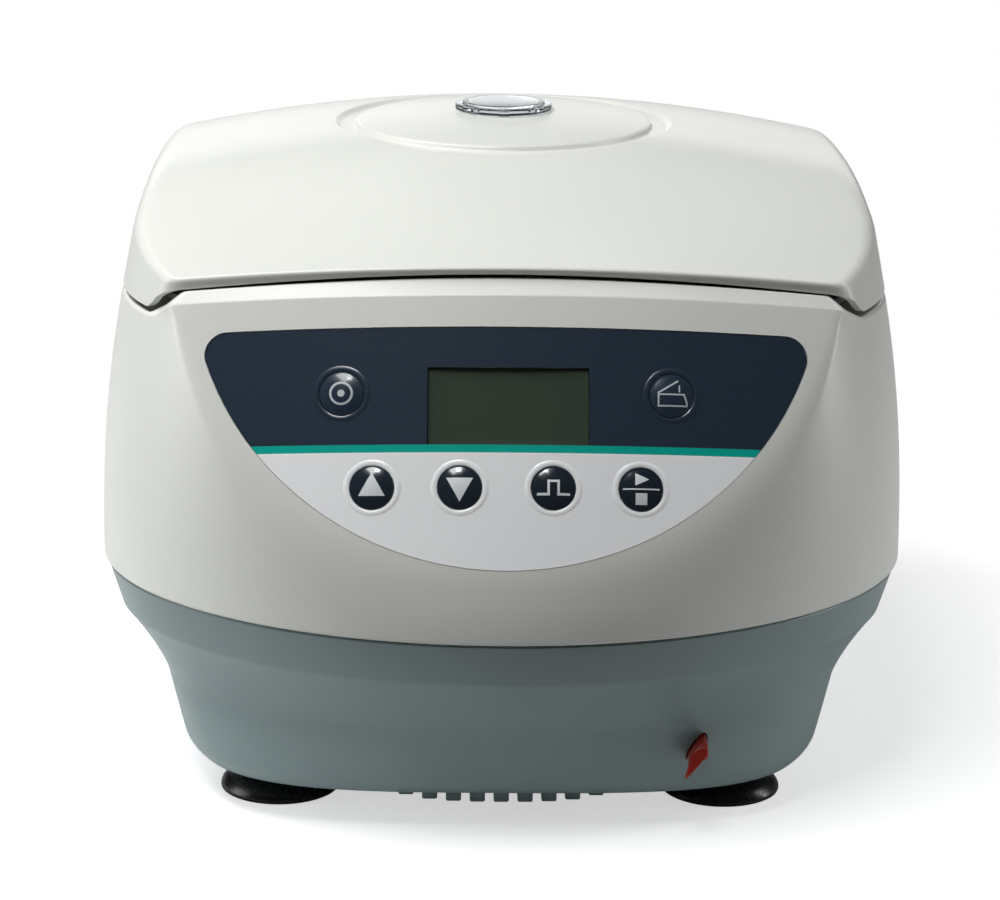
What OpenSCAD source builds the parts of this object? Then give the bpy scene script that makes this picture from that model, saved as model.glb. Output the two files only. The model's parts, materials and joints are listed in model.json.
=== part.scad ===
// Microplate centrifuge, a bench model with a swing-out rotor for two plates.
// Lengths are in millimetres and angles in degrees.
// Z is up, X runs to the right of a person at the keypad, the keypad faces -Y.
// Z = 0 is the bench, and X = Y = 0 is the axis of the rotor.

/* [Housing] */
// Width of the housing at its widest
body_w = 294; // [280:1:310]
// Depth of the housing from the front bulge to the rear wall
body_l = 366; // [350:1:390]
// Depth of the bulged front, measured from the widest line
front_bulge = 118; // [112:1:124]
// Height of the line between the grey base and the white shell
seam_z = 82; // [78:0.5:86]
// Height of the line between shell and lid along the sides
side_part_z = 181.5; // [179:0.5:184]
// Wall thickness of the two housing shells
wall = 3; // [2.5:0.1:3.5]

/* [Control face] */
// Lean of the control face from upright
face_lean = 25.4; // [22:0.2:28]
// Radius of the control face across its width
face_r = 536; // [480:5:620]
// Height of the lowest point of the control face
face_foot_z = 99; // [96:0.5:103]
// Radius of the round lower edge of the keypad film
film_r = 110; // [106:0.5:113]
// Thickness of the keypad film
film_t = 0.6; // [0.4:0.1:0.8]
// Diameter of a key
key_d = 15.2; // [14:0.1:16]
// Travel of a key
key_travel = 0.5; // [0.3:0.05:0.6]
// Spacing of the lower keys
key_pitch = 29.9; // [28:0.1:31]
// Width of the display window
lcd_w = 55.3; // [52:0.1:58]
// Height of the display window
lcd_h = 26.8; // [25:0.1:28]

/* [Lid] */
// Thickness of the lid shell
lid_t = 2.8; // [2.4:0.1:3.2]
// Radius of the raised disc in the middle of the lid
disc_r = 55.6; // [52:0.1:58]
// Radius of the groove around the disc
moat_r = 63.5; // [61:0.1:66]
// Radius of the sight glass
glass_r = 18.3; // [17:0.1:19]
// Height of the lid hinge pins
hinge_z = 180; // [178:0.5:182]
// Distance of the lid hinge pins in front of the rear end
hinge_back = 6; // [5:0.5:8]
// Diameter of the lid hinge pins
hinge_pin_d = 4; // [3.5:0.1:4.5]

/* [Chamber] */
// Inner radius of the chamber bowl
bowl_r = 125; // [124:0.5:126]
// Sheet thickness of the bowl
bowl_t = 1.2; // [0.8:0.1:1.5]
// Height of the chamber floor
bowl_floor_z = 83; // [82.5:0.5:84]
// Radius of the opening in the deck
mouth_r = 120.5; // [120:0.1:121]

/* [Rotor] */
// Length of a microplate
plate_l = 127.76;
// Width of a microplate
plate_w = 85.48;
// Play around a plate in its carrier
plate_play = 0.4; // [0.3:0.05:0.6]
// Radius from the rotor axis to the carrier pivots
pivot_r = 54; // [53.5:0.1:54.5]
// Height of the carrier pivots
pivot_z = 135; // [134:0.5:137]
// Diameter of the carrier pivot pins
pivot_d = 6; // [5:0.1:6.5]
// Diameter of the drive shaft
shaft_d = 12; // [10:0.5:14]
// Running clearance between a pin and its hole, on the radius
run_fit = 0.08; // [0.04:0.01:0.1]

/* [Feet and vent] */
// Radius of a suction foot
foot_r = 21.8; // [20:0.1:23]
// Sideways distance of the front feet from the middle
foot_x = 81; // [78:0.5:84]
// Thickness of a vent rib
rib_t = 5.5; // [5:0.1:6]
// Spacing of the vent ribs
rib_pitch = 8.6; // [8:0.1:9]

/* [Hidden] */

half_w = body_w / 2;
end_y = body_l / 2;
wide_y = -end_y + front_bulge;
rear_r = body_l - front_bulge;
shell_low_z = seam_z + 0.4;
face_foot_y = -end_y + 0.5;
face_tan = tan(face_lean);
face_plan_r = face_r * cos(face_lean);

// Angles around the plan, close together at the lid corners and rear corners.
half_ring = concat(
    [for (a = [0:6:60]) a],
    [for (a = [62.5:1.25:70]) a],
    [for (a = [74:8:130]) a],
    [for (a = [134:3:161]) a],
    [for (a = [166:7:180]) a]
);
ring = concat(half_ring, [for (i = [len(half_ring) - 2:-1:1]) -half_ring[i]]);

function clamp01(t) = min(max(t, 0), 1);
function ease(t) = let (u = clamp01(t)) u * u * (3 - 2 * u);
function mix(a, b, t) = a + (b - a) * t;
// Lesser of two values with the corner between them rounded over k.
function soft_min(a, b, k) = min(a, b) - pow(max(k - abs(a - b), 0) / k, 2) * k / 4;
// A ramp that starts smoothly from zero, w wide at its bend.
function soft_ramp(t, w) = (sqrt(t * t + w * w) + t) / 2;

// Plan outline: an oval front and a squarer rear about the widest line.
plan_rear_n = 7;
function plan_r(th, a, bf, br, nf) = cos(th) > 0
    ? pow(pow(abs(sin(th)) / a, nf) + pow(cos(th) / bf, nf), -1 / nf)
    : pow(pow(abs(sin(th)) / a, plan_rear_n) + pow(-cos(th) / br, plan_rear_n), -1 / plan_rear_n);

function up_t(z) = clamp01((z - seam_z - 3) / 98);
function shell_r(th, z) = plan_r(th, half_w - 9 * pow(up_t(z), 2.2),
    front_bulge - 3 * pow(up_t(z), 2), rear_r - 4 * up_t(z), 2);

// Distance from the plan centre to the leaning control face.
function face_plan(th, z) =
    let (q = pow(sin(th), 2) / (2 * face_plan_r), b = cos(th),
         c = face_foot_y + (z - face_foot_z) * face_tan - wide_y,
         d = sqrt(max(b * b - 4 * q * c, 0)))
    q > 0.0000001 ? (d - b) / (2 * q) : -c / b;
function face_k(z) = 3.5 + 5.5 * clamp01(1 - (z - face_foot_z) / 90);
function upper_r(th, z) = abs(th) < 100
    ? soft_min(shell_r(th, z), face_plan(th, z), face_k(z))
    : shell_r(th, z);

function on_plan(th, r, z) = [r * sin(th), wide_y - r * cos(th), z];
function plan_y(th, r) = wide_y - r * cos(th);

// Front parting: it drops as it runs back along the curved face.
part_drop = 0.66;
shelf_z = 194.3;
shelf_y = -end_y + 45.8;
step_from = 65.6;
step_to = 69.6;
function front_line(th, z0, y0, n) = n == 0 ? z0
    : let (z = front_line(th, z0, y0, n - 1)) z0 - part_drop * (plan_y(th, upper_r(th, z)) - y0);
function shelf_line(th) = front_line(min(abs(th), step_from + 1), shelf_z, shelf_y, 3);
function side_blend(th) = ease((abs(th) - step_from) / (step_to - step_from));
// Rear parting drops to leave room for the hinge barrels.
rear_part_z = 172;
deck_z = side_part_z - 1.5;
deck_t = 3;
function rear_blend(y) = ease((y - end_y + 33) / 14);
function rim_z(th) = let (y = plan_y(th, shell_r(th, side_part_z)))
    mix(side_part_z, rear_part_z, rear_blend(y));
shelf_in = 5.3;
shelf_up = 4.4;
ridge_t = 2.6;
edge_r = 1;

function mouth_plan(th, r) = wide_y * cos(th) + sqrt(r * r - pow(wide_y * sin(th), 2));
rear_inner_y = end_y - 8.5;
hinge_y = end_y - hinge_back;
function inner_r(th, z) = let (r = upper_r(th, z) - wall)
    cos(th) < -0.05 ? min(r, (rear_inner_y - wide_y) / -cos(th)) : r;

function upper_section(th) =
    let (
        f = side_blend(th),
        zt = mix(shelf_line(th), rim_z(th) - edge_r, f),
        up = mix(shelf_up, edge_r, f),
        ins = mix(shelf_in, edge_r, f),
        rt = upper_r(th, zt),
        flat = mix(ridge_t, 1.6, f),
        yb = plan_y(th, rt),
        drop = (side_part_z - rear_part_z) * rear_blend(yb),
        r1 = rt - ins - flat,
        ramp = mix(0.6, 16, rear_blend(yb)),
        zd1 = deck_z - drop,
        ro = mouth_plan(th, mouth_r),
        r2 = max(r1 - ramp, ro + 2),
        zi = zd1 - deck_t
    )
    concat(
        [[upper_r(th, shell_low_z) - 1, shell_low_z]],
        [for (i = [0:9]) let (z = mix(shell_low_z + 0.8, zt, i / 9)) [upper_r(th, z), z]],
        [
            [rt - ins, zt + up],
            [rt - ins - flat, zt + up],
            [r1 - 0.3, zd1],
            [r2, deck_z],
            [ro + 0.6, deck_z],
            [ro, deck_z - 0.6],
            [ro, deck_z - deck_t],
            [max(r2 - 1, ro + 1), deck_z - deck_t],
            [min(inner_r(th, zi) - 0.2, max(r1 - 1, ro + 1.4)), zi],
            [inner_r(th, zi), zi - 0.2]
        ],
        [for (i = [1:5]) let (z = mix(zi, shell_low_z, i / 5)) [inner_r(th, z), z]]
    );

// Turns one closed section per ring angle into a closed ring of faces.
module ring_solid(sections) {
    n = len(sections);
    m = len(sections[0]);
    pts = [for (j = [0:m - 1]) for (i = [0:n - 1]) on_plan(ring[i], sections[i][j][0], sections[i][j][1])];
    point_ring(pts, n, m);
}

module point_ring(pts, n, m) {
    polyhedron(
        points = pts,
        faces = [for (j = [0:m - 1]) for (i = [0:n - 1])
            let (a = j * n + i, b = (j + 1) % m * n + i,
                 c = (j + 1) % m * n + (i + 1) % n, d = j * n + (i + 1) % n)
            each [[a, b, c], [a, c, d]]],
        convexity = 10
    );
}

// The control face frame: x across, y up the face, z out of it.
module face_frame() {
    translate([0, face_foot_y, face_foot_z])
        rotate([90 - face_lean, 0, 0])
            children();
}

// A spot on the face, u across and s up, with z along the local normal.
module on_face(u, s) {
    face_frame()
        translate([0, 0, -face_r])
            rotate([0, asin(u / face_r), 0])
                translate([0, s, face_r])
                    children();
}

// The skin between two depths under the face, cut to the flat shape given.
module face_skin(deep, shallow) {
    face_frame()
        intersection() {
            translate([0, 0, -deep - 14])
                linear_extrude(height = deep + 16)
                    children();
            translate([0, 140, -face_r])
                rotate([90, 0, 0])
                    difference() {
                        cylinder(r = face_r - shallow, h = 160, $fn = 720);
                        translate([0, 0, -1])
                            cylinder(r = face_r - deep, h = 162, $fn = 720);
                    }
        }
}

// Keypad outline: a round lower edge and a slightly arched top edge.
film_centre_s = 9.8 + film_r;
film_top_s = 94.4;
film_arch_r = 5200;
film_hub_s = 62;
film_corner = 12;
function film_edge(a, grow) =
    let (
        h = film_centre_s - film_hub_s,
        c = -cos(a),
        low = h * c + sqrt(film_r * film_r - h * h * (1 - c * c)),
        top = c > 0.02 ? (film_top_s - film_hub_s - pow(min(100, 30 * abs(sin(a)) / c),
            2) / (2 * film_arch_r)) / c : 999
    )
    soft_min(low, top, film_corner) + grow;
function film_outline(grow) = [for (a = [0:4:356]) let (r = film_edge(a, grow)) [r * sin(a),
    film_hub_s - r * cos(a)]];

lower_s = 38.5;
upper_s = 71.2;
upper_u = 56.5;
lcd_s = 66.9;
pocket_depth = film_t + 0.3;
key_gap = 0.3;
key_spots = [
    ["key_set", -upper_u, upper_s],
    ["key_open", upper_u, upper_s],
    ["key_up", -1.5 * key_pitch - 0.9, lower_s],
    ["key_down", -0.5 * key_pitch - 0.9, lower_s],
    ["key_short", 0.5 * key_pitch + 1.1, lower_s],
    ["key_start", 1.5 * key_pitch + 1.1, lower_s]
];
board_n = -10;
board_t = 1.6;
key_dome = 1;

module key(i) {
    u = key_spots[i][1];
    s = key_spots[i][2];
    cap_r = key_d / 2;
    dome_r = (cap_r * cap_r + key_dome * key_dome) / (2 * key_dome);
    // Sag of the curved face at this key, so that the stem reaches the board.
    sag = face_r - sqrt(face_r * face_r - u * u);
    stem = -board_n - sag * 0.99 - 2.6 - key_travel - 0.4;
    color([0.13, 0.16, 0.2])
        on_face(u, s) {
            translate([0, 0, -2.2])
                cylinder(r = cap_r, h = 2.1, $fn = 64);
            intersection() {
                translate([0, 0, -0.1])
                    cylinder(r = cap_r, h = key_dome + 0.2, $fn = 64);
                translate([0, 0, -0.1 + key_dome - dome_r])
                    sphere(r = dome_r, $fn = 200);
            }
            translate([0, 0, -stem])
                cylinder(r = 2, h = stem - 2.1, $fn = 32);
        }
}

module key_set() {
    key(0);
}

module key_open() {
    key(1);
}

module key_up() {
    key(2);
}

module key_down() {
    key(3);
}

module key_short() {
    key(4);
}

module key_start() {
    key(5);
}

module key_holes(r, deep) {
    for (k = key_spots)
        on_face(k[1], k[2])
            translate([0, 0, -deep])
                cylinder(r = r, h = deep + 4, $fn = 48);
}

module window_hole(grow, deep) {
    face_frame()
        translate([0.6 - lcd_w / 2 - grow, lcd_s - lcd_h / 2 - grow, -deep])
            cube([lcd_w + 2 * grow, lcd_h + 2 * grow, deep + 4]);
}

module keypad_film() {
    color([0.15, 0.2, 0.26])
        difference() {
            face_skin(pocket_depth - 0.05, pocket_depth - 0.05 - film_t)
                polygon(film_outline(-0.25));
            key_holes(key_d / 2 + key_gap, 6);
            window_hole(0, 8);
        }
}

module lcd_window() {
    color([0.2, 0.22, 0.19])
        face_frame()
            translate([0.6 - lcd_w / 2 + 0.2, lcd_s - lcd_h / 2 + 0.2, -4.4])
                cube([lcd_w - 0.4, lcd_h - 0.4, 2.2]);
}

module lcd_module() {
    color([0.12, 0.13, 0.13])
        face_frame()
            translate([0.6 - lcd_w / 2 - 2, lcd_s - lcd_h / 2 - 2, board_n + 0.02])
                cube([lcd_w + 4, lcd_h + 4, -4.46 - board_n]);
}

module control_board() {
    half = 66;
    color([0.1, 0.35, 0.22])
        face_frame() {
            difference() {
                translate([-half, 24, board_n - board_t])
                    cube([2 * half, 58, board_t]);
                for (x = [-1, 1], s = [28, 78])
                    translate([x * (half - 4), s, board_n - 3])
                        cylinder(r = 1.6, h = 5, $fn = 32);
            }
            for (k = key_spots)
                translate([k[1] - 3, k[2] - 3, board_n])
                    cube([6, 6, 2]);
            for (x = [-24, 0, 24])
                translate([x - 6, 30, board_n - board_t - 3])
                    cube([12, 9, 3]);
            translate([-50, 60, board_n - board_t - 6])
                cube([18, 8, 6]);
        }
}

latch_x = half_w - 49;
latch_y = -end_y + 77;
latch_hole_r = 6.5;
switch_pin = [-half_w + 32.3, -end_y + 97];
hinge_x = 68;
knuckle_l = 30;
rear_hole = [80, 95, 155];
boss_spots = [for (s = [-1, 1]) [s * (half_w - 43), end_y - 55]];
lock_y = latch_y - 25.9;
guide_spots = [[-40, lock_y], [40, lock_y]];

module upper_shell() {
    color([0.91, 0.91, 0.88])
        difference() {
            union() {
                ring_solid([for (th = ring) upper_section(th)]);
                for (p = boss_spots)
                    translate([p[0], p[1], shell_low_z + 2])
                        cylinder(r = 5, h = deck_z - 2 - shell_low_z - 2, $fn = 24);
            }
            face_skin(pocket_depth, -3)
                polygon(film_outline(0));
            key_holes(key_d / 2 + key_gap, 7);
            window_hole(0.1, 9);
            for (x = [-latch_x, latch_x])
                translate([x, latch_y, deck_z - deck_t - 2])
                    cylinder(r = latch_hole_r, h = 8, $fn = 40);
            translate([switch_pin[0], switch_pin[1], deck_z - deck_t - 2])
                cylinder(r = 4.2, h = 8, $fn = 24);
            translate([-rear_hole[0], rear_inner_y - 2, rear_hole[1]])
                cube([2 * rear_hole[0], 20, rear_hole[2] - rear_hole[1]]);
            for (x = [-hinge_x, hinge_x])
                translate([x - knuckle_l / 2 - 0.5, rear_inner_y - 3.6, 160])
                    cube([knuckle_l + 1, 4.2, 20]);
            for (p = boss_spots)
                translate([p[0], p[1], shell_low_z])
                    cylinder(r = 1.6, h = 26, $fn = 16);
        }
}

// Grey base: an upright belt over a body that draws in towards the feet.
base_low_z = 13;
base_floor = 3;
lip_in = 3.9;
belt_z = 65.5;
function base_half(z) = half_w - 27.7 + 0.31 * (z - 27)
    + 9.6 * pow(clamp01((z - 42) / (belt_z - 42)), 1.5)
    - 0.057 * pow(max(22 - z, 0), 2);
function base_in(z) = base_half(seam_z) - base_half(z);
function base_r(th, z) = plan_r(th, base_half(z), front_bulge - 1 - 1.14 * base_in(z),
    rear_r - 1 - 0.6 * base_in(z), 2 + 1.4 * pow(clamp01((belt_z - z) / 52), 1.3));

vent_y = -80;
vent_r = 50;
vent_hole_r = 46.5;
function vent_plan(th, r) = (wide_y - vent_y) * cos(th)
    + sqrt(r * r - pow((wide_y - vent_y) * sin(th), 2));
function base_section(th) =
    let (
        rs = base_r(th, seam_z),
        rl = min(rs - lip_in, cos(th) < -0.05 ? (rear_inner_y - 0.4 - wide_y) / -cos(th) : rs),
        rv = vent_plan(th, vent_hole_r)
    )
    concat(
        [[rv, base_low_z], [base_r(th, base_low_z) - 1.5, base_low_z]],
        [for (z = [base_low_z + 1.2, 18, 23, 29, 36, 43, 49, 54, 58.5, 62.5, belt_z, 71, 77,
            seam_z - 0.6]) [base_r(th, z), z]],
        [
            [rs - 0.6, seam_z],
            [rl, seam_z],
            [rl, seam_z + 5],
            [rl - 1.8, seam_z + 5],
            [rl - 1.8, seam_z - 2]
        ],
        [for (z = [belt_z + 1, 54, 43, 30, base_low_z + base_floor + 4]) [base_r(th, z) - wall, z]],
        [[base_r(th, base_low_z + base_floor) - wall - 1.5, base_low_z + base_floor],
            [rv, base_low_z + base_floor]]
    );

tab_x = 68.4;
// Leaf shaped slot for the release tab, as x from tab_x and height.
tab_slot = [
    [4.1, 31.4], [4.1, 36.4], [3.5, 38.5], [2.4, 38.8], [0.4, 37.4], [-1.8, 34.6], [-3.2, 31.9],
    [-3.8, 29.4], [-3.2, 28.6]
];
rear_foot = [half_w - 59, end_y - 61];
front_foot_y = -end_y + 85;
foot_spots = [
    [-foot_x, front_foot_y], [foot_x, front_foot_y],
    [-rear_foot[0], rear_foot[1]], [rear_foot[0], rear_foot[1]]
];
stud_hole_r = 3.2;

module base_shell() {
    color([0.45, 0.5, 0.53])
        difference() {
            union() {
                ring_solid([for (th = ring) base_section(th)]);
                for (p = boss_spots)
                    translate([p[0], p[1], base_low_z + 2])
                        cylinder(r = 5, h = shell_low_z - base_low_z - 0.5, $fn = 24);
            }
            translate([tab_x, -end_y + 49, 0])
                rotate([90, 0, 0])
                    linear_extrude(height = 36)
                        polygon(tab_slot);
            for (p = foot_spots)
                translate([p[0], p[1], base_low_z - 1])
                    cylinder(r = stud_hole_r, h = 6, $fn = 24);
            for (p = boss_spots)
                translate([p[0], p[1], base_low_z - 1]) {
                    cylinder(r = 3.6, h = 40, $fn = 20);
                    cylinder(r = 2, h = 90, $fn = 16);
                }
        }
}

module shell_screws() {
    color([0.6, 0.6, 0.62])
        for (p = boss_spots)
            translate([p[0], p[1], base_low_z + 37]) {
                cylinder(r = 3.3, h = 2, $fn = 32);
                cylinder(r = 1.5, h = 58, $fn = 24);
            }
}

vent_low_z = 5.5;
module floor_vent() {
    reach = 5 * rib_pitch;
    color([0.45, 0.5, 0.53])
        translate([0, vent_y, 0]) {
            intersection() {
                translate([0, 0, vent_low_z])
                    cylinder(r = vent_r, h = base_low_z - vent_low_z - 0.02, $fn = 96);
                union() {
                    for (x = [-reach:rib_pitch:reach])
                        translate([x - rib_t / 2, -vent_r, vent_low_z])
                            cube([rib_t, 2 * vent_r, base_low_z - vent_low_z]);
                }
            }
            difference() {
                translate([0, 0, base_low_z - 1.5])
                    cylinder(r = vent_hole_r - 0.3, h = base_floor + 3, $fn = 96);
                translate([0, 0, base_low_z - 2])
                    cylinder(r = vent_hole_r - 3, h = base_floor + 5, $fn = 96);
            }
        }
}

module foot_profile() {
    polygon([
        [0, 8], [6, 8], [foot_r - 3.8, 0.6], [foot_r - 3.3, 0], [foot_r - 0.5, 0], [foot_r, 0.8],
            [foot_r - 0.5, 2.6],
        [foot_r - 2.6, 5], [foot_r - 7, 7.4], [10.5, 9], [9.6, 10.6], [11.5, 11.8],
        [11.5, base_low_z - 0.02], [0, base_low_z - 0.02]
    ]);
}

module suction_feet() {
    color([0.06, 0.06, 0.06])
        for (p = foot_spots)
            translate([p[0], p[1], 0])
                difference() {
                    rotate_extrude($fn = 96)
                        foot_profile();
                    translate([0, 0, 9.5])
                        cylinder(r = 3.05, h = 10, $fn = 32);
                }
}

module foot_studs() {
    color([0.7, 0.7, 0.72])
        for (p = foot_spots)
            translate([p[0], p[1], 9.6]) {
                cylinder(r = 3, h = 14, $fn = 32);
                translate([0, 0, base_low_z + base_floor - 9.6 + 0.02])
                    cylinder(r = 5.5, h = 3.2, $fn = 6);
            }
}

// Chamber
bowl_top_z = deck_z - deck_t - 0.05;
flange_r = bowl_r + 6;
hole_r = 22;
module chamber_bowl() {
    ro = bowl_r + bowl_t;
    low = bowl_floor_z - bowl_t;
    color([0.78, 0.79, 0.8])
        rotate_extrude($fn = 128)
            difference() {
                union() {
                    translate([hole_r, low])
                        square([ro - hole_r - 7, bowl_t]);
                    translate([bowl_r, low + 7])
                        square([bowl_t, bowl_top_z - low - 7]);
                    translate([bowl_r, bowl_top_z - bowl_t])
                        square([flange_r - bowl_r, bowl_t]);
                    intersection() {
                        translate([ro - 7, low])
                            square([7, 7]);
                        translate([ro - 7, low + 7])
                            difference() {
                                circle(r = 7, $fn = 64);
                                circle(r = 7 - bowl_t, $fn = 64);
                            }
                    }
                }
                translate([-1, 0])
                    square([1, 300]);
            }
}

bowl_screw_r = bowl_r + 3.6;
module bowl_screws() {
    color([0.6, 0.6, 0.62])
        for (a = [30:60:330])
            rotate([0, 0, a])
                translate([0, bowl_screw_r, bowl_top_z - bowl_t - 2.02])
                    cylinder(r = 2.2, h = 2, $fn = 32);
}

seal_top_z = deck_z + 4.6;
module chamber_seal() {
    color([0.1, 0.1, 0.1])
        rotate_extrude($fn = 128)
            translate([mouth_r + 1.2, 0])
                polygon([[0, deck_z + 0.02], [5, deck_z + 0.02], [5, deck_z + 1.6], [3.7, seal_top_z],
                    [1.6, seal_top_z], [0, deck_z + 1.6]]);
}

module shaft_boot() {
    low = bowl_floor_z - bowl_t;
    color([0.12, 0.12, 0.12])
        rotate_extrude($fn = 96)
            polygon([
                [14, low - 2.4], [hole_r + 3, low - 2.4], [hole_r + 3, low - 0.02],
                    [hole_r - 0.2, low - 0.02],
                [hole_r - 0.2, bowl_floor_z + 0.02], [hole_r + 3, bowl_floor_z + 0.02],
                    [hole_r + 3, bowl_floor_z + 2],
                [hole_r - 2, bowl_floor_z + 3.4], [12, bowl_floor_z + 9], [8, bowl_floor_z + 9],
                [8, bowl_floor_z + 7], [11, bowl_floor_z + 7], [14, bowl_floor_z + 2]
            ]);
}

// Drive
mount_low_z = base_low_z + base_floor + 0.02;
mount_h = 18;
plate_z = mount_low_z + mount_h + 0.02;
motor_plate_t = 3;
motor_r = 44;
motor_low_z = plate_z + motor_plate_t + 0.02;
motor_top_z = 77;
cap_t = 6;
mount_off = motor_r + 6;
module motor_mounts() {
    color([0.12, 0.12, 0.12])
        for (x = [-1, 1], y = [-1, 1])
            translate([x * mount_off, y * mount_off, mount_low_z])
                rotate_extrude($fn = 48)
                    polygon([[0, 0], [10, 0], [10, 3], [8, 6], [8, mount_h - 6], [10, mount_h - 3],
                        [10, mount_h], [0, mount_h]]);
}

plate_half_w = motor_r + 18;
module motor_plate() {
    color([0.62, 0.63, 0.65])
        difference() {
            translate([-plate_half_w, -plate_half_w, plate_z])
                cube([2 * plate_half_w, 2 * plate_half_w, motor_plate_t]);
            for (x = [-1, 1], y = [-1, 1])
                translate([x * mount_off, y * mount_off, plate_z - 1])
                    cylinder(r = 2.6, h = 6, $fn = 32);
        }
}

module motor_screws() {
    color([0.6, 0.6, 0.62])
        for (x = [-1, 1], y = [-1, 1])
            translate([x * mount_off, y * mount_off, plate_z + 0.02]) {
                cylinder(r = 2.5, h = motor_plate_t, $fn = 32);
                translate([0, 0, motor_plate_t])
                    cylinder(r = 4.5, h = 3.5, $fn = 6);
            }
}

module motor_can() {
    color([0.25, 0.26, 0.28])
        difference() {
            translate([0, 0, motor_low_z])
                cylinder(r = motor_r, h = motor_top_z - cap_t - motor_low_z - 0.02, $fn = 96);
            translate([0, 0, 54])
                cylinder(r = shaft_d / 2 + 4, h = 40, $fn = 48);
            for (a = [0:30:330])
                rotate([0, 0, a])
                    translate([motor_r, 0, motor_low_z + 8])
                        cylinder(r = 2, h = 18, $fn = 16);
        }
}

module motor_cap() {
    color([0.7, 0.71, 0.73])
        difference() {
            translate([0, 0, motor_top_z - cap_t])
                cylinder(r = motor_r - 2, h = cap_t, $fn = 96);
            translate([0, 0, motor_top_z - cap_t - 1])
                cylinder(r = shaft_d / 2 + run_fit, h = cap_t + 2, $fn = 64);
        }
}

// Rotor: spindle, yoke with two side arms, and two swinging carriers.
hub_low_z = 127;
hub_top_z = 147;
module spindle() {
    color([0.75, 0.76, 0.78])
        union() {
            translate([0, 0, 56])
                cylinder(r = shaft_d / 2, h = hub_top_z - 56, $fn = 64);
            translate([0, 0, hub_low_z - 5])
                cylinder(r = 13, h = 5, $fn = 64);
            translate([0, 0, hub_top_z])
                cylinder(r = shaft_d / 2 - 1, h = 12, $fn = 64);
        }
}

pocket_l = plate_l + 2 * plate_play;
pocket_w = plate_w + 2 * plate_play;
end_wall = 2.2;
side_wall = 1.6;
tray_l = pocket_l + 2 * end_wall;
tray_w = pocket_w + 2 * side_wall;
tray_low = 22;
arm_in = tray_l / 2 + 1.2;
arm_t = 6.3;
arm_reach = pivot_r + 8;
bar_half = pivot_r - tray_w / 2 - 1.6;
module rotor_yoke() {
    color([0.2, 0.21, 0.23])
        difference() {
            union() {
                translate([0, 0, hub_low_z + 0.02])
                    cylinder(r = 15, h = hub_top_z - hub_low_z - 0.02, $fn = 64);
                translate([-arm_in - 2, -bar_half, hub_low_z + 2])
                    cube([2 * arm_in + 4, 2 * bar_half, 14]);
                for (s = [-1, 1])
                    translate([s * (arm_in + arm_t / 2) - arm_t / 2, 0, 0]) {
                        translate([0, -arm_reach + 8, pivot_z - 8])
                            cube([arm_t, 2 * arm_reach - 16, 16]);
                        for (t = [-1, 1])
                            translate([0, t * pivot_r, pivot_z])
                                rotate([0, 90, 0])
                                    cylinder(r = 8, h = arm_t, $fn = 64);
                    }
            }
            // The hub is trimmed where the carriers hang beside it.
            for (t = [-1, 1])
                translate([-20, t > 0 ? bar_half : -bar_half - 20, hub_low_z - 1])
                    cube([40, 20, hub_top_z - hub_low_z + 2]);
            translate([0, 0, hub_low_z - 1])
                cylinder(r = shaft_d / 2 + 0.02, h = 40, $fn = 64);
            for (s = [-1, 1], t = [-1, 1])
                translate([s * (arm_in - 1), t * pivot_r, pivot_z])
                    rotate([0, s * 90, 0])
                        cylinder(r = pivot_d / 2 + 0.02, h = arm_t + 2, $fn = 48);
            for (s = [-1, 1], t = [-1, 1])
                translate([s * (arm_in - 1), t * 28, pivot_z])
                    rotate([0, s * 90, 0])
                        cylinder(r = 5, h = arm_t + 2, $fn = 48);
        }
}

pin_in = tray_l / 2 - end_wall + 0.3;
module pivot_pins() {
    color([0.75, 0.76, 0.78])
        for (s = [-1, 1], t = [-1, 1])
            translate([s * pin_in, t * pivot_r, pivot_z])
                rotate([0, s * 90, 0]) {
                    cylinder(r = pivot_d / 2, h = arm_in + arm_t - pin_in + 0.02, $fn = 48);
                    translate([0, 0, arm_in + arm_t - pin_in + 0.02])
                        cylinder(r = pivot_d / 2 + 1.5, h = 1.4, $fn = 48);
                }
}

module rotor_nut() {
    color([0.6, 0.61, 0.63])
        difference() {
            union() {
                translate([0, 0, hub_top_z + 0.02])
                    cylinder(r = bar_half, h = 4, $fn = 64);
                translate([0, 0, hub_top_z + 4])
                    cylinder(r = bar_half - 1.2, h = 10, $fn = 6);
            }
            translate([0, 0, hub_top_z - 1])
                cylinder(r = shaft_d / 2 - 1 + 0.02, h = 14.5, $fn = 64);
        }
}

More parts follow.
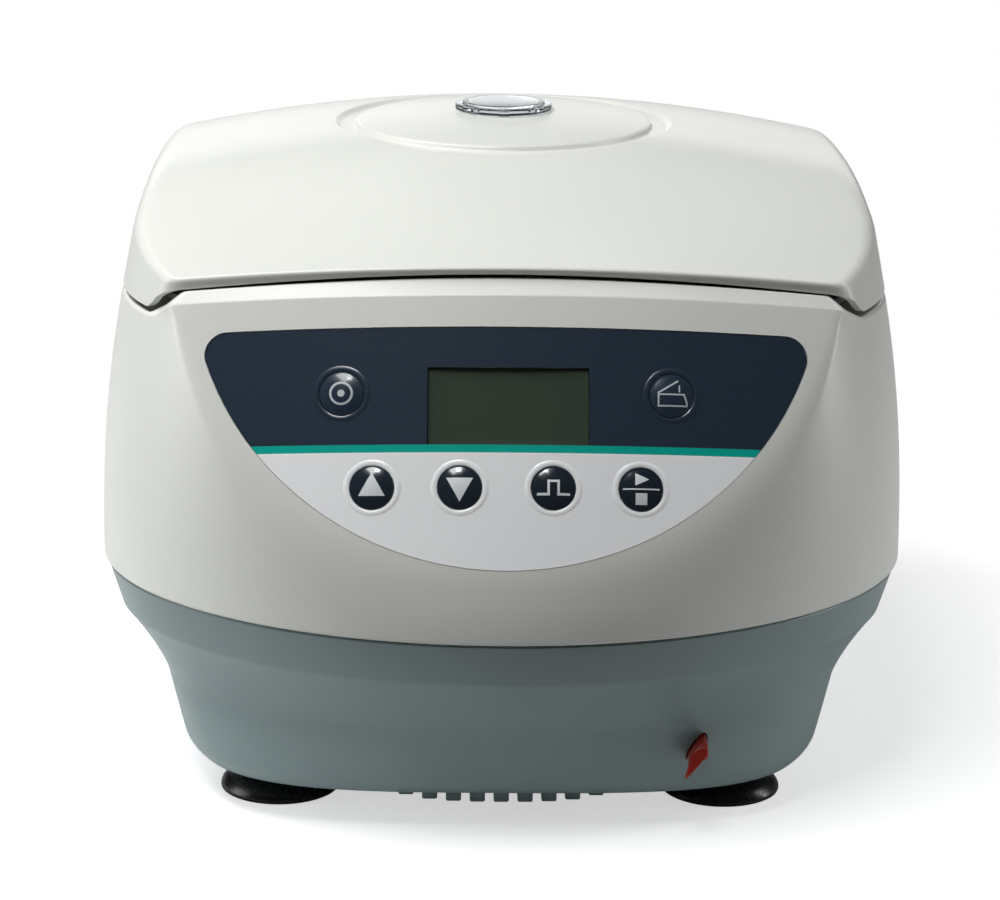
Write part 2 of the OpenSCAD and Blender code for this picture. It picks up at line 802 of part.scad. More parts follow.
// One carrier, drawn about its pivot, with its bottom hanging at tray_low.
module carrier() {
    rim = tray_low - 10;
    difference() {
        union() {
            translate([-tray_l / 2, -tray_w / 2, -tray_low])
                cube([tray_l, tray_w, 10]);
            for (s = [-1, 1])
                translate([s * (tray_l / 2 - end_wall / 2) - end_wall / 2, 0, 0]) {
                    rotate([90, 0, 90])
                        linear_extrude(height = end_wall)
                            polygon([[-26, -rim], [26, -rim], [7, 0], [-7, 0]]);
                    rotate([0, 90, 0])
                        cylinder(r = 7, h = end_wall, $fn = 64);
                }
        }
        translate([-pocket_l / 2, -pocket_w / 2, -tray_low + 2])
            cube([pocket_l, pocket_w, 40]);
        for (s = [-1, 1])
            translate([s * (tray_l / 2 + 1), 0, 0])
                rotate([0, -s * 90, 0])
                    cylinder(r = pivot_d / 2 + run_fit, h = end_wall + 2, $fn = 48);
        // Finger gaps at the middle of the long sides and holes in the floor.
        for (t = [-1, 1])
            translate([0, t * tray_w / 2, -tray_low + 6])
                rotate([90, 0, 0])
                    translate([0, 6, -3])
                        cylinder(r = 11, h = 6, $fn = 64);
        for (x = [-42, 0, 42], y = [-22, 22])
            translate([x, y, -tray_low - 1])
                cylinder(r = 9, h = 4, $fn = 48);
        for (s = [-1, 1], t = [-1, 1])
            translate([s * tray_l / 2, t * tray_w / 2, -tray_low - 1])
                rotate([0, 0, 45])
                    translate([-4, -4, 0])
                        cube([8, 8, 12]);
    }
}

module carrier_front() {
    color([0.55, 0.57, 0.6])
        translate([0, -pivot_r, pivot_z])
            carrier();
}

module carrier_rear() {
    color([0.55, 0.57, 0.6])
        translate([0, pivot_r, pivot_z])
            carrier();
}

// Lid: crowned top, steep sides, a sharp front corner that softens rearwards.
lid_peak_z = 236.2;
front_fall = 0.39;
front_bend_y = -50;
rear_fall = 0.25;
rear_bend_y = 58;
crown = 0.00085;
lid_gap_side = 2;
lid_gap_rear = 3.5;
lid_low_z = 199.6;
lid_low_y = -end_y + 49.5;
function top_z(x, y) = lid_peak_z - front_fall * soft_ramp(front_bend_y - y, 20)
    - rear_fall * soft_ramp(y - rear_bend_y, 40) - crown * x * x;
function lid_plan(th, z) =
    let (
        d = z - side_part_z - 1.5,
        r = plan_r(th, half_w - 8.8 - 0.2 * d, front_bulge - 3 - 0.2 * d, rear_r - 4 - 0.1 * d, 2)
    )
    abs(th) < 100 ? soft_min(r, face_plan(th, z), 3) : r;
function crease_z(th, z, n) = n == 0 ? z
    : let (r = lid_plan(th, z)) crease_z(th, top_z(r * sin(th), plan_y(th, r)), n - 1);
function band(th) = 1 - ease((abs(th) - 62.5) / 4);
function lid_r(th, z, zc) = mix(lid_plan(th, z), lid_plan(th, zc) - 0.45 * (zc - z), band(th));
function lid_edge_z(th) =
    let (
        front = lid_low_z - part_drop * (plan_y(th, lid_plan(min(abs(th), 68), 200)) - lid_low_y),
        side = side_part_z + lid_gap_side + lid_gap_rear * rear_blend(plan_y(th, lid_plan(th, 185)))
    )
    mix(front, side, ease((abs(th) - 66.8) / 3));
function arm_len(th) = 2 + 6 * ease((abs(th) - 62) / 38) + 4 * ease((abs(th) - 110) / 30);
function bend(a, b, c, u) = (1 - u) * (1 - u) * a + 2 * u * (1 - u) * b + u * u * c;
function on_circle(p, r, z) = let (l = norm([p[0], p[1]])) [p[0] * r / l, p[1] * r / l, z];
function lid_top_point(p, t, down) =
    let (l = norm([p[0], p[1]]), q = on_circle(p, moat_r + (l - moat_r) * t, 0))
    [q[0], q[1], top_z(q[0], q[1]) - down];
function moat_low(p, r) = let (q = on_circle(p, r, 0)) min(top_z(q[0], q[1]) - 0.15, disc_z - 2);

disc_z = 231;
dome_h = 4.4;
function dome_z(r) = disc_z + dome_h * (1 - pow(r / disc_r, 2));
sight_hole_r = glass_r - 2.9;

function lid_points(th) =
    let (
        zc = crease_z(th, 208, 7),
        z0 = lid_edge_z(th),
        len_a = arm_len(th),
        zw = zc - min(len_a, (zc - z0) / 2),
        rc = lid_r(th, zc, zc),
        rw = lid_r(th, zw, zc),
        rt = rc - len_a,
        zt = top_z(rt * sin(th), plan_y(th, rt)),
        p = on_plan(th, rt, zt),
        r_low = lid_r(th, z0, zc),
        rim = on_circle(p, moat_r, 0)
    )
    concat(
        [for (i = [0:3]) let (z = mix(z0, zw, i / 4)) on_plan(th, lid_r(th, z, zc), z)],
        [for (u = [0:0.25:1]) on_plan(th, bend(rw, rc, rt, u), bend(zw, zc, zt, u))],
        [for (t = [0.8, 0.6, 0.4, 0.2]) lid_top_point(p, t, 0)],
        [
            [rim[0], rim[1], top_z(rim[0], rim[1])],
            on_circle(p, moat_r - 1.8, moat_low(p, moat_r - 1.8)),
            on_circle(p, disc_r + 0.7, moat_low(p, disc_r + 0.7)),
            on_circle(p, disc_r, disc_z - 0.4),
            on_circle(p, disc_r - 0.8, disc_z + 0.1),
            on_circle(p, 44, dome_z(44)),
            on_circle(p, 31, dome_z(31)),
            on_circle(p, sight_hole_r, dome_z(sight_hole_r)),
            on_circle(p, sight_hole_r, dome_z(sight_hole_r) - lid_t),
            on_circle(p, 40, dome_z(40) - lid_t),
            on_circle(p, disc_r - 2.5, disc_z - lid_t),
            on_circle(p, disc_r - 1, disc_z - lid_t - 2),
            on_circle(p, moat_r + 1.2, moat_low(p, moat_r + 1.2) - lid_t)
        ],
        [for (t = [0.2, 0.45, 0.7, 0.94]) lid_top_point(p, t, lid_t)],
        // The inner corner never turns back up, also where the front band is low.
        [for (u = [1:-0.25:0]) on_plan(th,
            min(bend(rw, rc, rt, u) - lid_t * cos(90 * u), rw - lid_t),
            min([for (v = [u:0.25:1]) bend(zw, zc, zt, v) - lid_t * sin(90 * v)]) - 0.24 * (1 - u))],
        [on_plan(th, r_low - lid_t, z0)]
    );

module lid_shell() {
    rows = [for (th = ring) lid_points(th)];
    n = len(rows);
    m = len(rows[0]);
    color([0.91, 0.91, 0.88])
        point_ring([for (j = [0:m - 1]) for (i = [0:n - 1]) rows[i][j]], n, m);
}

liner_z = seal_top_z + 0.3;
liner_t = 2.5;
function ridge_inner(th) = let (s = upper_section(th)) s[12][0];
function liner_r(th) = min(
    lid_r(th, 200, crease_z(th, 208, 7)) - lid_t - 4,
    abs(th) < 75 ? ridge_inner(th) - 1.6 : 999,
    cos(th) < -0.05 ? (rear_inner_y - 6.5 - wide_y) / -cos(th) : 999
);
post_x = mouth_r - 24.5;
post_spots = [[-post_x, -50], [post_x, -50], [-post_x, 70], [post_x, 70]];
tube_r = 17.5;
module lid_liner() {
    color([0.8, 0.81, 0.8])
        difference() {
            union() {
                translate([0, 0, liner_z])
                    linear_extrude(height = liner_t)
                        polygon([for (th = ring) let (r = liner_r(th)) [r * sin(th), plan_y(th, r)]]);
                for (p = post_spots)
                    translate([p[0], p[1], liner_z])
                        cylinder(r = 5, h = top_z(p[0], p[1]) - lid_t - 2 - liner_z, $fn = 48);
                translate([0, 0, liner_z])
                    cylinder(r = tube_r, h = dome_z(tube_r) - lid_t - 4.2 - liner_z, $fn = 96);
                translate([switch_pin[0], switch_pin[1], deck_z - 1.6])
                    cylinder(r = 2.5, h = liner_z - deck_z + 2, $fn = 32);
            }
            translate([0, 0, liner_z - 1])
                cylinder(r = tube_r - 2, h = 60, $fn = 96);
            for (x = [-latch_x, latch_x])
                translate([x, latch_y, liner_z - 1])
                    cylinder(r = 3.04, h = liner_t + 2, $fn = 48);
            for (p = post_spots)
                translate([p[0], p[1], liner_z - 1])
                    cylinder(r = 1.8, h = 22, $fn = 32);
        }
}

module liner_screws() {
    color([0.6, 0.6, 0.62])
        for (p = post_spots)
            translate([p[0], p[1], liner_z - 2.02]) {
                cylinder(r = 3.4, h = 2, $fn = 32);
                cylinder(r = 1.7, h = 16, $fn = 32);
            }
}

glass_low_z = dome_z(sight_hole_r) + 0.02;
glass_h = 3.4;
module sight_glass() {
    color([0.7, 0.75, 0.78, 0.6])
        difference() {
            union() {
                translate([0, 0, glass_low_z])
                    cylinder(r = glass_r, h = glass_h - 1.1, $fn = 96);
                translate([0, 0, glass_low_z + glass_h - 1.1])
                    cylinder(r = glass_r - 2.8, h = 1.1, $fn = 96);
                translate([0, 0, glass_low_z - lid_t - 3])
                    cylinder(r = sight_hole_r - 0.1, h = lid_t + 3.2, $fn = 96);
                translate([-1.9, -glass_r - 0.6, glass_low_z])
                    cube([3.8, 4, glass_h - 0.9]);
            }
            translate([0, 0, glass_low_z - lid_t - 4])
                cylinder(r = sight_hole_r - 2.1, h = lid_t + 4, $fn = 96);
        }
}

module sight_nut() {
    color([0.12, 0.12, 0.12])
        translate([0, 0, glass_low_z - lid_t - 2.9])
            difference() {
                cylinder(r = sight_hole_r + 3.4, h = 2.2, $fn = 8);
                translate([0, 0, -1])
                    cylinder(r = sight_hole_r - 0.06, h = 5, $fn = 96);
            }
}

// Hinge
barrel_r = 4.5;
lid_knuckle_l = 12;
knuckle_gap = 0.4;
module lid_hinge_arms() {
    leaf_z = liner_z + liner_t + 0.02;
    leaf_y = rear_inner_y - 6.1;
    color([0.55, 0.56, 0.58])
        for (s = [-1, 1], t = [-1, 1])
            translate([s * hinge_x + t * (knuckle_l / 2 + knuckle_gap + lid_knuckle_l / 2), 0, 0])
                difference() {
                    union() {
                        translate([-lid_knuckle_l / 2, hinge_y, hinge_z])
                            rotate([0, 90, 0])
                                cylinder(r = barrel_r, h = lid_knuckle_l, $fn = 64);
                        translate([-lid_knuckle_l / 2, leaf_y, hinge_z - 2])
                            cube([lid_knuckle_l, hinge_y - 2 - leaf_y, 8.5]);
                        translate([-lid_knuckle_l / 2, leaf_y, hinge_z])
                            cube([lid_knuckle_l, 3.6, leaf_z + 2.5 - hinge_z]);
                        translate([-lid_knuckle_l / 2, end_y - 33, leaf_z])
                            cube([lid_knuckle_l, 20, 2.5]);
                    }
                    translate([-lid_knuckle_l, hinge_y, hinge_z])
                        rotate([0, 90, 0])
                            cylinder(r = hinge_pin_d / 2 + 0.02, h = 2 * lid_knuckle_l, $fn = 48);
                }
}

module hinge_brackets() {
    plate_y = rear_inner_y - 3.05;
    color([0.55, 0.56, 0.58])
        for (s = [-1, 1])
            translate([s * hinge_x - knuckle_l / 2, 0, 0])
                difference() {
                    union() {
                        translate([0, hinge_y, hinge_z])
                            rotate([0, 90, 0])
                                cylinder(r = barrel_r, h = knuckle_l, $fn = 64);
                        translate([0, plate_y, 161])
                            cube([knuckle_l, 3, 19]);
                    }
                    translate([-1, hinge_y, hinge_z])
                        rotate([0, 90, 0])
                            cylinder(r = hinge_pin_d / 2 + run_fit, h = knuckle_l + 2, $fn = 48);
                }
}

module hinge_pins() {
    pin_l = knuckle_l + 2 * (lid_knuckle_l + knuckle_gap) + 0.04;
    color([0.75, 0.76, 0.78])
        for (s = [-1, 1])
            translate([s * hinge_x - pin_l / 2, hinge_y, hinge_z])
                rotate([0, 90, 0]) {
                    cylinder(r = hinge_pin_d / 2, h = pin_l, $fn = 48);
                    translate([0, 0, -1.2])
                        cylinder(r = hinge_pin_d / 2 + 1, h = 1.2, $fn = 48);
                    translate([0, 0, pin_l])
                        cylinder(r = hinge_pin_d / 2 + 1, h = 1.2, $fn = 48);
                }
}

// Latch: two necked studs on the lid and a keyhole bar that slides sideways.
bar_z = 166;
bar_t = 2;
bar_travel = 7.5;
neck_r = 2;
stud_head_r = 3.6;
module latch_studs() {
    neck_low = bar_z - 0.6;
    neck_high = bar_z + bar_t + 0.6;
    color([0.7, 0.71, 0.73])
        for (x = [-latch_x, latch_x])
            translate([x, latch_y, 0])
                rotate_extrude($fn = 64)
                    polygon([
                        [0, neck_low - 4.5], [1.6, neck_low - 4.5], [stud_head_r, neck_low - 2.4],
                            [stud_head_r, neck_low],
                        [neck_r, neck_low], [neck_r, neck_high], [3, neck_high],
                        [3, liner_z + liner_t + 0.02], [6, liner_z + liner_t + 0.02],
                        [6, liner_z + liner_t + 3], [0, liner_z + liner_t + 3]
                    ]);
}

slot_w = 2 * neck_r + 0.8;
crank_x = latch_x - 14;
crank_z = 146.5;
crank_y = latch_y - 12;
crank_arm = 16;
crank_half_turn = 13.4;
crank_pin_r = 2;
crank_across = crank_arm * cos(crank_half_turn);
crank_rise = crank_arm * sin(crank_half_turn);
pin_gap = 0.35;
module latch_bar() {
    fork_x = crank_x - crank_rise;
    color([0.68, 0.69, 0.71])
        difference() {
            union() {
                translate([0, latch_y, bar_z])
                    linear_extrude(height = bar_t)
                        polygon([
                            [-latch_x + 22, -29.5], [latch_x - 36, -29.5], [latch_x - 26, -20.5],
                            [latch_x - 2, -20], [latch_x + 8, -7.5], [latch_x + 8, 7.5],
                            [latch_x - 10, 7.5], [latch_x - 13.5, 1], [latch_x - 36, -22.3],
                            [-latch_x + 36, -22.3],
                            [-latch_x + 12, 1], [-latch_x + 6, 7.5],
                            [-latch_x - 14, 7.5], [-latch_x - 14, -7.5], [-latch_x, -15]
                        ]);
                for (t = [-1, 1])
                    translate([fork_x + t * (crank_pin_r + pin_gap + 1.5) - 1.5, crank_y - 6, bar_z - 7.5])
                        cube([3, 3.6, 8]);
            }
            // Keyholes: wide over the studs at rest, narrow once the bar moves right.
            for (x = [-latch_x, latch_x]) {
                translate([x - bar_travel, latch_y, bar_z - 1])
                    cylinder(r = slot_w / 2, h = bar_t + 2, $fn = 48);
                translate([x - bar_travel, latch_y - slot_w / 2, bar_z - 1])
                    cube([bar_travel, slot_w, bar_t + 2]);
                translate([x, latch_y, bar_z - 1])
                    cylinder(r = stud_head_r + 0.9, h = bar_t + 2, $fn = 48);
            }
            for (g = guide_spots, d = [0.5, -bar_travel - 0.5])
                translate([g[0] + d, g[1], bar_z - 1])
                    cylinder(r = 2, h = bar_t + 2, $fn = 32);
            for (g = guide_spots)
                translate([g[0] - bar_travel - 0.5, g[1] - 2, bar_z - 1])
                    cube([bar_travel + 1, 4, bar_t + 2]);
        }
}

module bar_guides() {
    color([0.7, 0.71, 0.73])
        for (g = guide_spots)
            translate([g[0], g[1], 0])
                rotate_extrude($fn = 48)
                    polygon([
                        [0, bar_z - 2], [3.3, bar_z - 2], [3.3, bar_z - 0.3], [1.7, bar_z - 0.3],
                            [1.7, bar_z + bar_t + 0.3],
                        [3.3, bar_z + bar_t + 0.3], [3.3, deck_z - deck_t - 0.25],
                            [0, deck_z - deck_t - 0.25]
                    ]);
}

solenoid_y = lock_y;
solenoid_z = 155;
module solenoid() {
    color([0.3, 0.31, 0.34])
        difference() {
            union() {
                translate([-60, solenoid_y - 4.4, solenoid_z - 7])
                    cube([26, 8.6, 14]);
                translate([-54, solenoid_y + 4.24, solenoid_z - 7])
                    cube([14, 1.4, deck_z - deck_t - 0.25 - solenoid_z + 7]);
            }
            translate([-61, solenoid_y, solenoid_z])
                rotate([0, 90, 0])
                    cylinder(r = 2.5 + run_fit, h = 24, $fn = 48);
        }
}

module solenoid_plunger() {
    color([0.75, 0.76, 0.78]) {
        translate([-72, solenoid_y, solenoid_z])
            rotate([0, 90, 0])
                cylinder(r = 2.5, h = 26, $fn = 48);
        translate([-74, solenoid_y - 2.5, solenoid_z - 2.5])
            cube([2.5, 5, bar_z - solenoid_z + 2.48]);
    }
}

// A flat bell crank with two arms at a right angle, in the XZ plane.
module crank_plate(r_end) {
    rotate([90, 0, 0])
        cylinder(r = 5, h = 3, center = true, $fn = 48);
    rotate([0, -crank_half_turn, 0]) {
        translate([-2.5, -1.5, 0])
            cube([5, 3, crank_arm]);
        translate([-crank_arm, -1.5, -2.5])
            cube([crank_arm, 3, 5]);
    }
    translate([-crank_rise, 0, crank_across])
        rotate([90, 0, 0])
            cylinder(r = r_end, h = 3, center = true, $fn = 32);
    translate([-crank_across, 0, -crank_rise])
        rotate([90, 0, 0])
            cylinder(r = r_end, h = 3, center = true, $fn = 32);
}

module bell_crank() {
    color([0.68, 0.69, 0.71])
        translate([crank_x, crank_y, crank_z]) {
            difference() {
                crank_plate(3);
                rotate([90, 0, 0])
                    cylinder(r = 2 + run_fit, h = 10, center = true, $fn = 48);
            }
            translate([-crank_rise, -1.4, crank_across])
                rotate([90, 0, 0])
                    cylinder(r = crank_pin_r, h = 4, $fn = 32);
            translate([-crank_across, 1.4, -crank_rise])
                rotate([-90, 0, 0])
                    cylinder(r = crank_pin_r, h = 4, $fn = 32);
        }
}

module crank_bracket() {
    color([0.55, 0.56, 0.58])
        translate([crank_x, crank_y, crank_z]) {
            translate([0, 1.7, 0])
                rotate([90, 0, 0]) {
                    cylinder(r = 2, h = 4.4, $fn = 48);
                    translate([0, 0, -1])
                        cylinder(r = 3.2, h = 1, $fn = 48);
                }
            translate([-5, -3.7, -5])
                cube([10, 2, 10]);
            translate([-3, -12.5, 3])
                cube([6, 9, 2]);
            translate([-3, -12.5, 3])
                cube([6, 2, deck_z - deck_t - 0.25 - crank_z - 3]);
        }
}

rod_x = crank_x - crank_across;
rod_y = crank_y + 3.2;
rod_t = 2.4;
tab_z = 33.6;
tab_crank_y = rod_y - crank_across;
tab_crank_z = tab_z + crank_across;
module release_rod() {
    top = crank_z - crank_rise;
    low = tab_crank_z - crank_rise;
    color([0.68, 0.69, 0.71])
        difference() {
            union() {
                translate([rod_x - 3, rod_y - rod_t / 2, low + 2.7])
                    cube([6, rod_t, top - low + 3]);
                translate([rod_x, rod_y, top])
                    rotate([90, 0, 0])
                        cylinder(r = 5.5, h = rod_t, center = true, $fn = 48);
                translate([rod_x + 2.5, rod_y - rod_t / 2, low - 6])
                    cube([2.5, rod_t, 14]);
                translate([rod_x - 3, rod_y - rod_t / 2, low - 6])
                    cube([7, rod_t, 3.3]);
            }
            for (d = [-1, 1])
                translate([rod_x + 0.4 * d, rod_y, top])
                    rotate([90, 0, 0])
                        cylinder(r = crank_pin_r + pin_gap, h = 10, center = true, $fn = 32);
        }
}

// Lower bell crank: it turns the tab's push into the rod's lift.
module tab_crank() {
    color([0.68, 0.69, 0.71])
        translate([rod_x, tab_crank_y, tab_crank_z])
            difference() {
                union() {
                    rotate([0, 90, 0])
                        cylinder(r = 4.6, h = 3.4, center = true, $fn = 48);
                    rotate([-crank_half_turn, 0, 0]) {
                        translate([-1.7, 0, -1.5])
                            cube([3.4, crank_arm, 3]);
                        translate([-1.7, -1.5, -crank_arm])
                            cube([3.4, 3, crank_arm]);
                    }
                    translate([0, crank_across, -crank_rise])
                        rotate([0, 90, 0])
                            cylinder(r = 2.3, h = 3.4, center = true, $fn = 32);
                    translate([0, -crank_rise, -crank_across])
                        rotate([0, 90, 0])
                            cylinder(r = crank_pin_r, h = 7, center = true, $fn = 32);
                }
                rotate([0, 90, 0])
                    cylinder(r = 2 + run_fit, h = 20, center = true, $fn = 48);
            }
}

module tab_bracket() {
    foot_top = base_low_z + base_floor + 0.02;
    h = tab_crank_z + 4 - foot_top;
    color([0.55, 0.56, 0.58]) {
        translate([rod_x - 8, tab_crank_y, tab_crank_z])
            rotate([0, 90, 0])
                cylinder(r = 2, h = 16, $fn = 48);
        for (t = [-1, 1])
            translate([rod_x + t * 6.5 - 1, tab_crank_y, foot_top])
                rotate([90, 0, 90])
                    linear_extrude(height = 2)
                        polygon([[0, 0], [12, 0], [12, 4], [4, h], [-4, h], [-4, h - 8], [0, 12]]);
        translate([rod_x - 7.5, tab_crank_y, foot_top])
            cube([15, 12, 2]);
    }
}

// Red tab: pulled out by its claw it opens the lock by hand.
tab_back = -end_y + 55;
module release_tab() {
    color([0.55, 0.12, 0.1])
        difference() {
            intersection() {
                translate([tab_x, 0, 0]) {
                    translate([0, tab_back, 0])
                        rotate([90, 0, 0])
                            linear_extrude(height = 26.8)
                                polygon([
                                    [3.75, 31.9], [3.75, 36.1], [3.2, 38], [2.5, 38.3], [0.6, 36.8],
                                        [-1.45, 34.2],
                                    [-2.8, 31.7], [-3.4, 29.5], [-3.1, 29.1]
                                ]);
                    translate([0, tab_back - 26.7, 0])
                        rotate([90, 0, 0])
                            linear_extrude(height = 5)
                                polygon([
                                    [3.75, 33.9], [3.75, 36.6], [1.6, 38], [-1.45, 35.2],
                                        [-2.9, 32.6], [-3.6, 29],
                                    [-4.6, 26.2], [-4.3, 25.3], [-3.6, 25.5], [0.2, 29.8]
                                ]);
                }
                translate([tab_x - 10, tab_back, 0])
                    rotate([90, 0, 90])
                        linear_extrude(height = 20)
                            polygon([
                                [0, 28], [0, 40], [-19, 40], [-23.4, 38.4], [-26.6, 35.7],
                                [-28.5, 31.9], [-29.5, 27.9], [-29.7, 24.4], [-28.7, 24.4],
                                [-27.8, 28.2], [-26.9, 30], [-22, 28]
                            ]);
            }
            translate([rod_x - 2, tab_back - 11.5, 20])
                cube([4, 20, 30]);
            for (d = [-0.5, 0.5])
                translate([rod_x, tab_crank_y - crank_rise, tab_z + d])
                    rotate([0, 90, 0])
                        cylinder(r = crank_pin_r + pin_gap, h = 20, center = true, $fn = 32);
        }
}

module lid_switch() {
    color([0.12, 0.12, 0.13]) {
        translate([switch_pin[0] - 3.3, switch_pin[1] - 10, 167])
            cube([6.5, 20, 8]);
        translate([switch_pin[0] - 3.3, switch_pin[1] + 4, deck_z - deck_t - 2.5])
            cube([6.5, 5, 2.25]);
        translate([switch_pin[0], switch_pin[1], deck_z - deck_t - 2.5])
            cylinder(r = 1.4, h = 2, $fn = 24);
    }
}

// Power side, on a plate behind the opening in the rear wall.
plate_low = 91;
plate_high = 159;
plate_half = 82.4;
rear_plate_t = 2;
plate_face_y = rear_inner_y - 0.05;
fan_spot = [-50, 125];
fan_size = 60;
fan_bore = 27;
inlet_spot = [26, 125];
switch_spot = [66, 125];
module rear_plate() {
    color([0.7, 0.71, 0.72])
        difference() {
            translate([-plate_half, plate_face_y - rear_plate_t, plate_low])
                cube([2 * plate_half, rear_plate_t, plate_high - plate_low]);
            translate([fan_spot[0], 190, fan_spot[1]])
                rotate([90, 0, 0])
                    cylinder(r = fan_bore, h = 40, $fn = 96);
            translate([inlet_spot[0] - 14, 160, inlet_spot[1] - 10.5])
                cube([28, 30, 21]);
            translate([switch_spot[0] - 9.6, 160, switch_spot[1] - 13])
                cube([19.2, 30, 26]);
        }
}

module power_inlet() {
    color([0.1, 0.1, 0.1])
        difference() {
            union() {
                translate([inlet_spot[0] - 25, plate_face_y + 0.02, inlet_spot[1] - 13.5])
                    cube([50, 2.6, 27]);
                translate([inlet_spot[0] - 13.8, plate_face_y - 20, inlet_spot[1] - 10.3])
                    cube([27.6, 21, 20.6]);
            }
            translate([inlet_spot[0] - 12, plate_face_y - 14, inlet_spot[1] - 8])
                cube([24, 20, 16]);
            for (t = [-1, 1])
                translate([inlet_spot[0] + t * 20, 190, inlet_spot[1]])
                    rotate([90, 0, 0])
                        cylinder(r = 1.7, h = 40, $fn = 32);
        }
}

module inlet_pins() {
    color([0.8, 0.78, 0.7])
        for (p = [[-7, -1.5], [0, 2.5], [7, -1.5]])
            translate([inlet_spot[0] + p[0] - 1, plate_face_y - 13.98, inlet_spot[1] + p[1] - 2.4])
                cube([2, 11.4, 4.8]);
}

module switch_frame() {
    color([0.1, 0.1, 0.1])
        difference() {
            union() {
                translate([switch_spot[0] - 11, plate_face_y + 0.02, switch_spot[1] - 15.5])
                    cube([22, 2, 31]);
                translate([switch_spot[0] - 9.4, plate_face_y - 16, switch_spot[1] - 12.8])
                    cube([18.8, 17, 25.6]);
            }
            translate([switch_spot[0] - 7.2, plate_face_y - 8, switch_spot[1] - 11.2])
                cube([14.4, 12, 22.4]);
        }
}

module power_rocker() {
    color([0.15, 0.15, 0.15])
        translate([switch_spot[0], plate_face_y - 1, switch_spot[1]])
            rotate([rocker_tilt, 0, 0])
                rotate([90, 0, 90])
                    linear_extrude(height = 13.6, center = true)
                        polygon([[-1.8, -10], [4.2, -10.2], [2.2, 0], [4.2, 10.2], [-1.8, 10],
                            [-5.4, 3], [-5.4, -3]]);
}
rocker_tilt = 8;

fan_depth = 20;
module fan_frame() {
    y0 = plate_face_y - rear_plate_t - 0.02;
    color([0.12, 0.12, 0.13])
        difference() {
            union() {
                difference() {
                    translate([fan_spot[0] - fan_size / 2, y0 - fan_depth, fan_spot[1] - fan_size / 2])
                        cube([fan_size, fan_depth, fan_size]);
                    translate([fan_spot[0], y0 + 1, fan_spot[1]])
                        rotate([90, 0, 0])
                            cylinder(r = fan_bore + 0.8, h = fan_depth + 2, $fn = 96);
                }
                translate([fan_spot[0], y0 - fan_depth + 4, fan_spot[1]])
                    rotate([90, 0, 0])
                        cylinder(r = 11, h = 4, $fn = 64);
                for (a = [0:90:270])
                    translate([fan_spot[0], y0 - fan_depth, fan_spot[1]])
                        rotate([0, a + 45, 0])
                            translate([8, 0, -1.5])
                                cube([fan_bore - 6, 3, 3]);
            }
            translate([fan_spot[0], y0 + 1, fan_spot[1]])
                rotate([90, 0, 0])
                    cylinder(r = 1.5 + run_fit, h = fan_depth + 2, $fn = 32);
        }
}

blade_count = 7;
module fan_impeller() {
    y0 = plate_face_y - rear_plate_t - 1.5;
    color([0.2, 0.2, 0.21])
        translate([fan_spot[0], y0, fan_spot[1]]) {
            rotate([90, 0, 0])
                cylinder(r = 11, h = 12, $fn = 64);
            rotate([90, 0, 0])
                cylinder(r = 1.5, h = 16.5, $fn = 32);
            for (a = [0:360 / blade_count:359])
                rotate([0, a, 0])
                    translate([10, -6, 0])
                        rotate([35, 0, 0])
                            translate([0, -5.5, -0.6])
                                cube([fan_bore - 11, 11, 1.2]);
        }
}

module fan_guard() {
    color([0.12, 0.12, 0.13])
        translate([fan_spot[0], plate_face_y + 0.02, fan_spot[1]])
            rotate([-90, 0, 0]) {
                for (r = [9, 15, 21, 28.5])
                    difference() {
                        cylinder(r = r, h = 2, $fn = 96);
                        translate([0, 0, -1])
                            cylinder(r = r - 2.2, h = 4, $fn = 96);
                    }
                for (a = [0, 90])
                    rotate([0, 0, a + 45])
                        translate([-27.5, -1.2, 0])
                            cube([55, 2.4, 2]);
            }
}

module power_board() {
    x0 = -70;
    y0 = 70;
    floor_z = base_low_z + base_floor + 0.02;
    color([0.1, 0.35, 0.22]) {
        translate([x0, y0, floor_z + 8])
            cube([140, 42, 1.6]);
        for (x = [x0 + 6, x0 + 134], y = [y0 + 5, y0 + 37])
            translate([x, y, floor_z])
                cylinder(r = 3.5, h = 8.2, $fn = 32);
        translate([x0 + 12, y0 + 5, floor_z + 9.5])
            cube([34, 30, 26]);
        for (i = [0:2])
            translate([x0 + 62 + 17 * i, y0 + 12, floor_z + 9.5])
                cylinder(r = 6.5, h = 24, $fn = 48);
        translate([x0 + 58, y0 + 26, floor_z + 9.5])
            cube([60, 5, 20]);
    }
}

base_shell();
floor_vent();
suction_feet();
foot_studs();
shell_screws();
upper_shell();
keypad_film();
lcd_window();
lcd_module();
control_board();
key_set();
key_open();
key_up();
key_down();
key_short();
key_start();
chamber_bowl();
bowl_screws();
chamber_seal();
shaft_boot();
motor_plate();
motor_mounts();
motor_can();
motor_cap();
motor_screws();
spindle();
rotor_yoke();
pivot_pins();
rotor_nut();
carrier_front();
carrier_rear();
lid_shell();
lid_liner();
liner_screws();
sight_glass();
sight_nut();
lid_hinge_arms();
hinge_brackets();
hinge_pins();
latch_studs();
latch_bar();
bar_guides();
solenoid();
solenoid_plunger();
bell_crank();
crank_bracket();
release_rod();
tab_crank();
tab_bracket();
release_tab();
lid_switch();
power_board();
rear_plate();
power_inlet();
inlet_pins();
switch_frame();
power_rocker();
fan_frame();
fan_impeller();
fan_guard();
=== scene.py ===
# %% [markdown]
# # A bench centrifuge for microplates, dressed in Blender
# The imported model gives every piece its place. This script keeps that frame and adds
# the looks: smooth moulded shells, a printed keypad, a clear sight glass and finishes.
# Lengths in the formulas are millimetres, and every mesh is written in metres.

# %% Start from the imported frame
import json
import math

import bmesh
import bpy
import numpy as np
from mathutils import Matrix, Vector


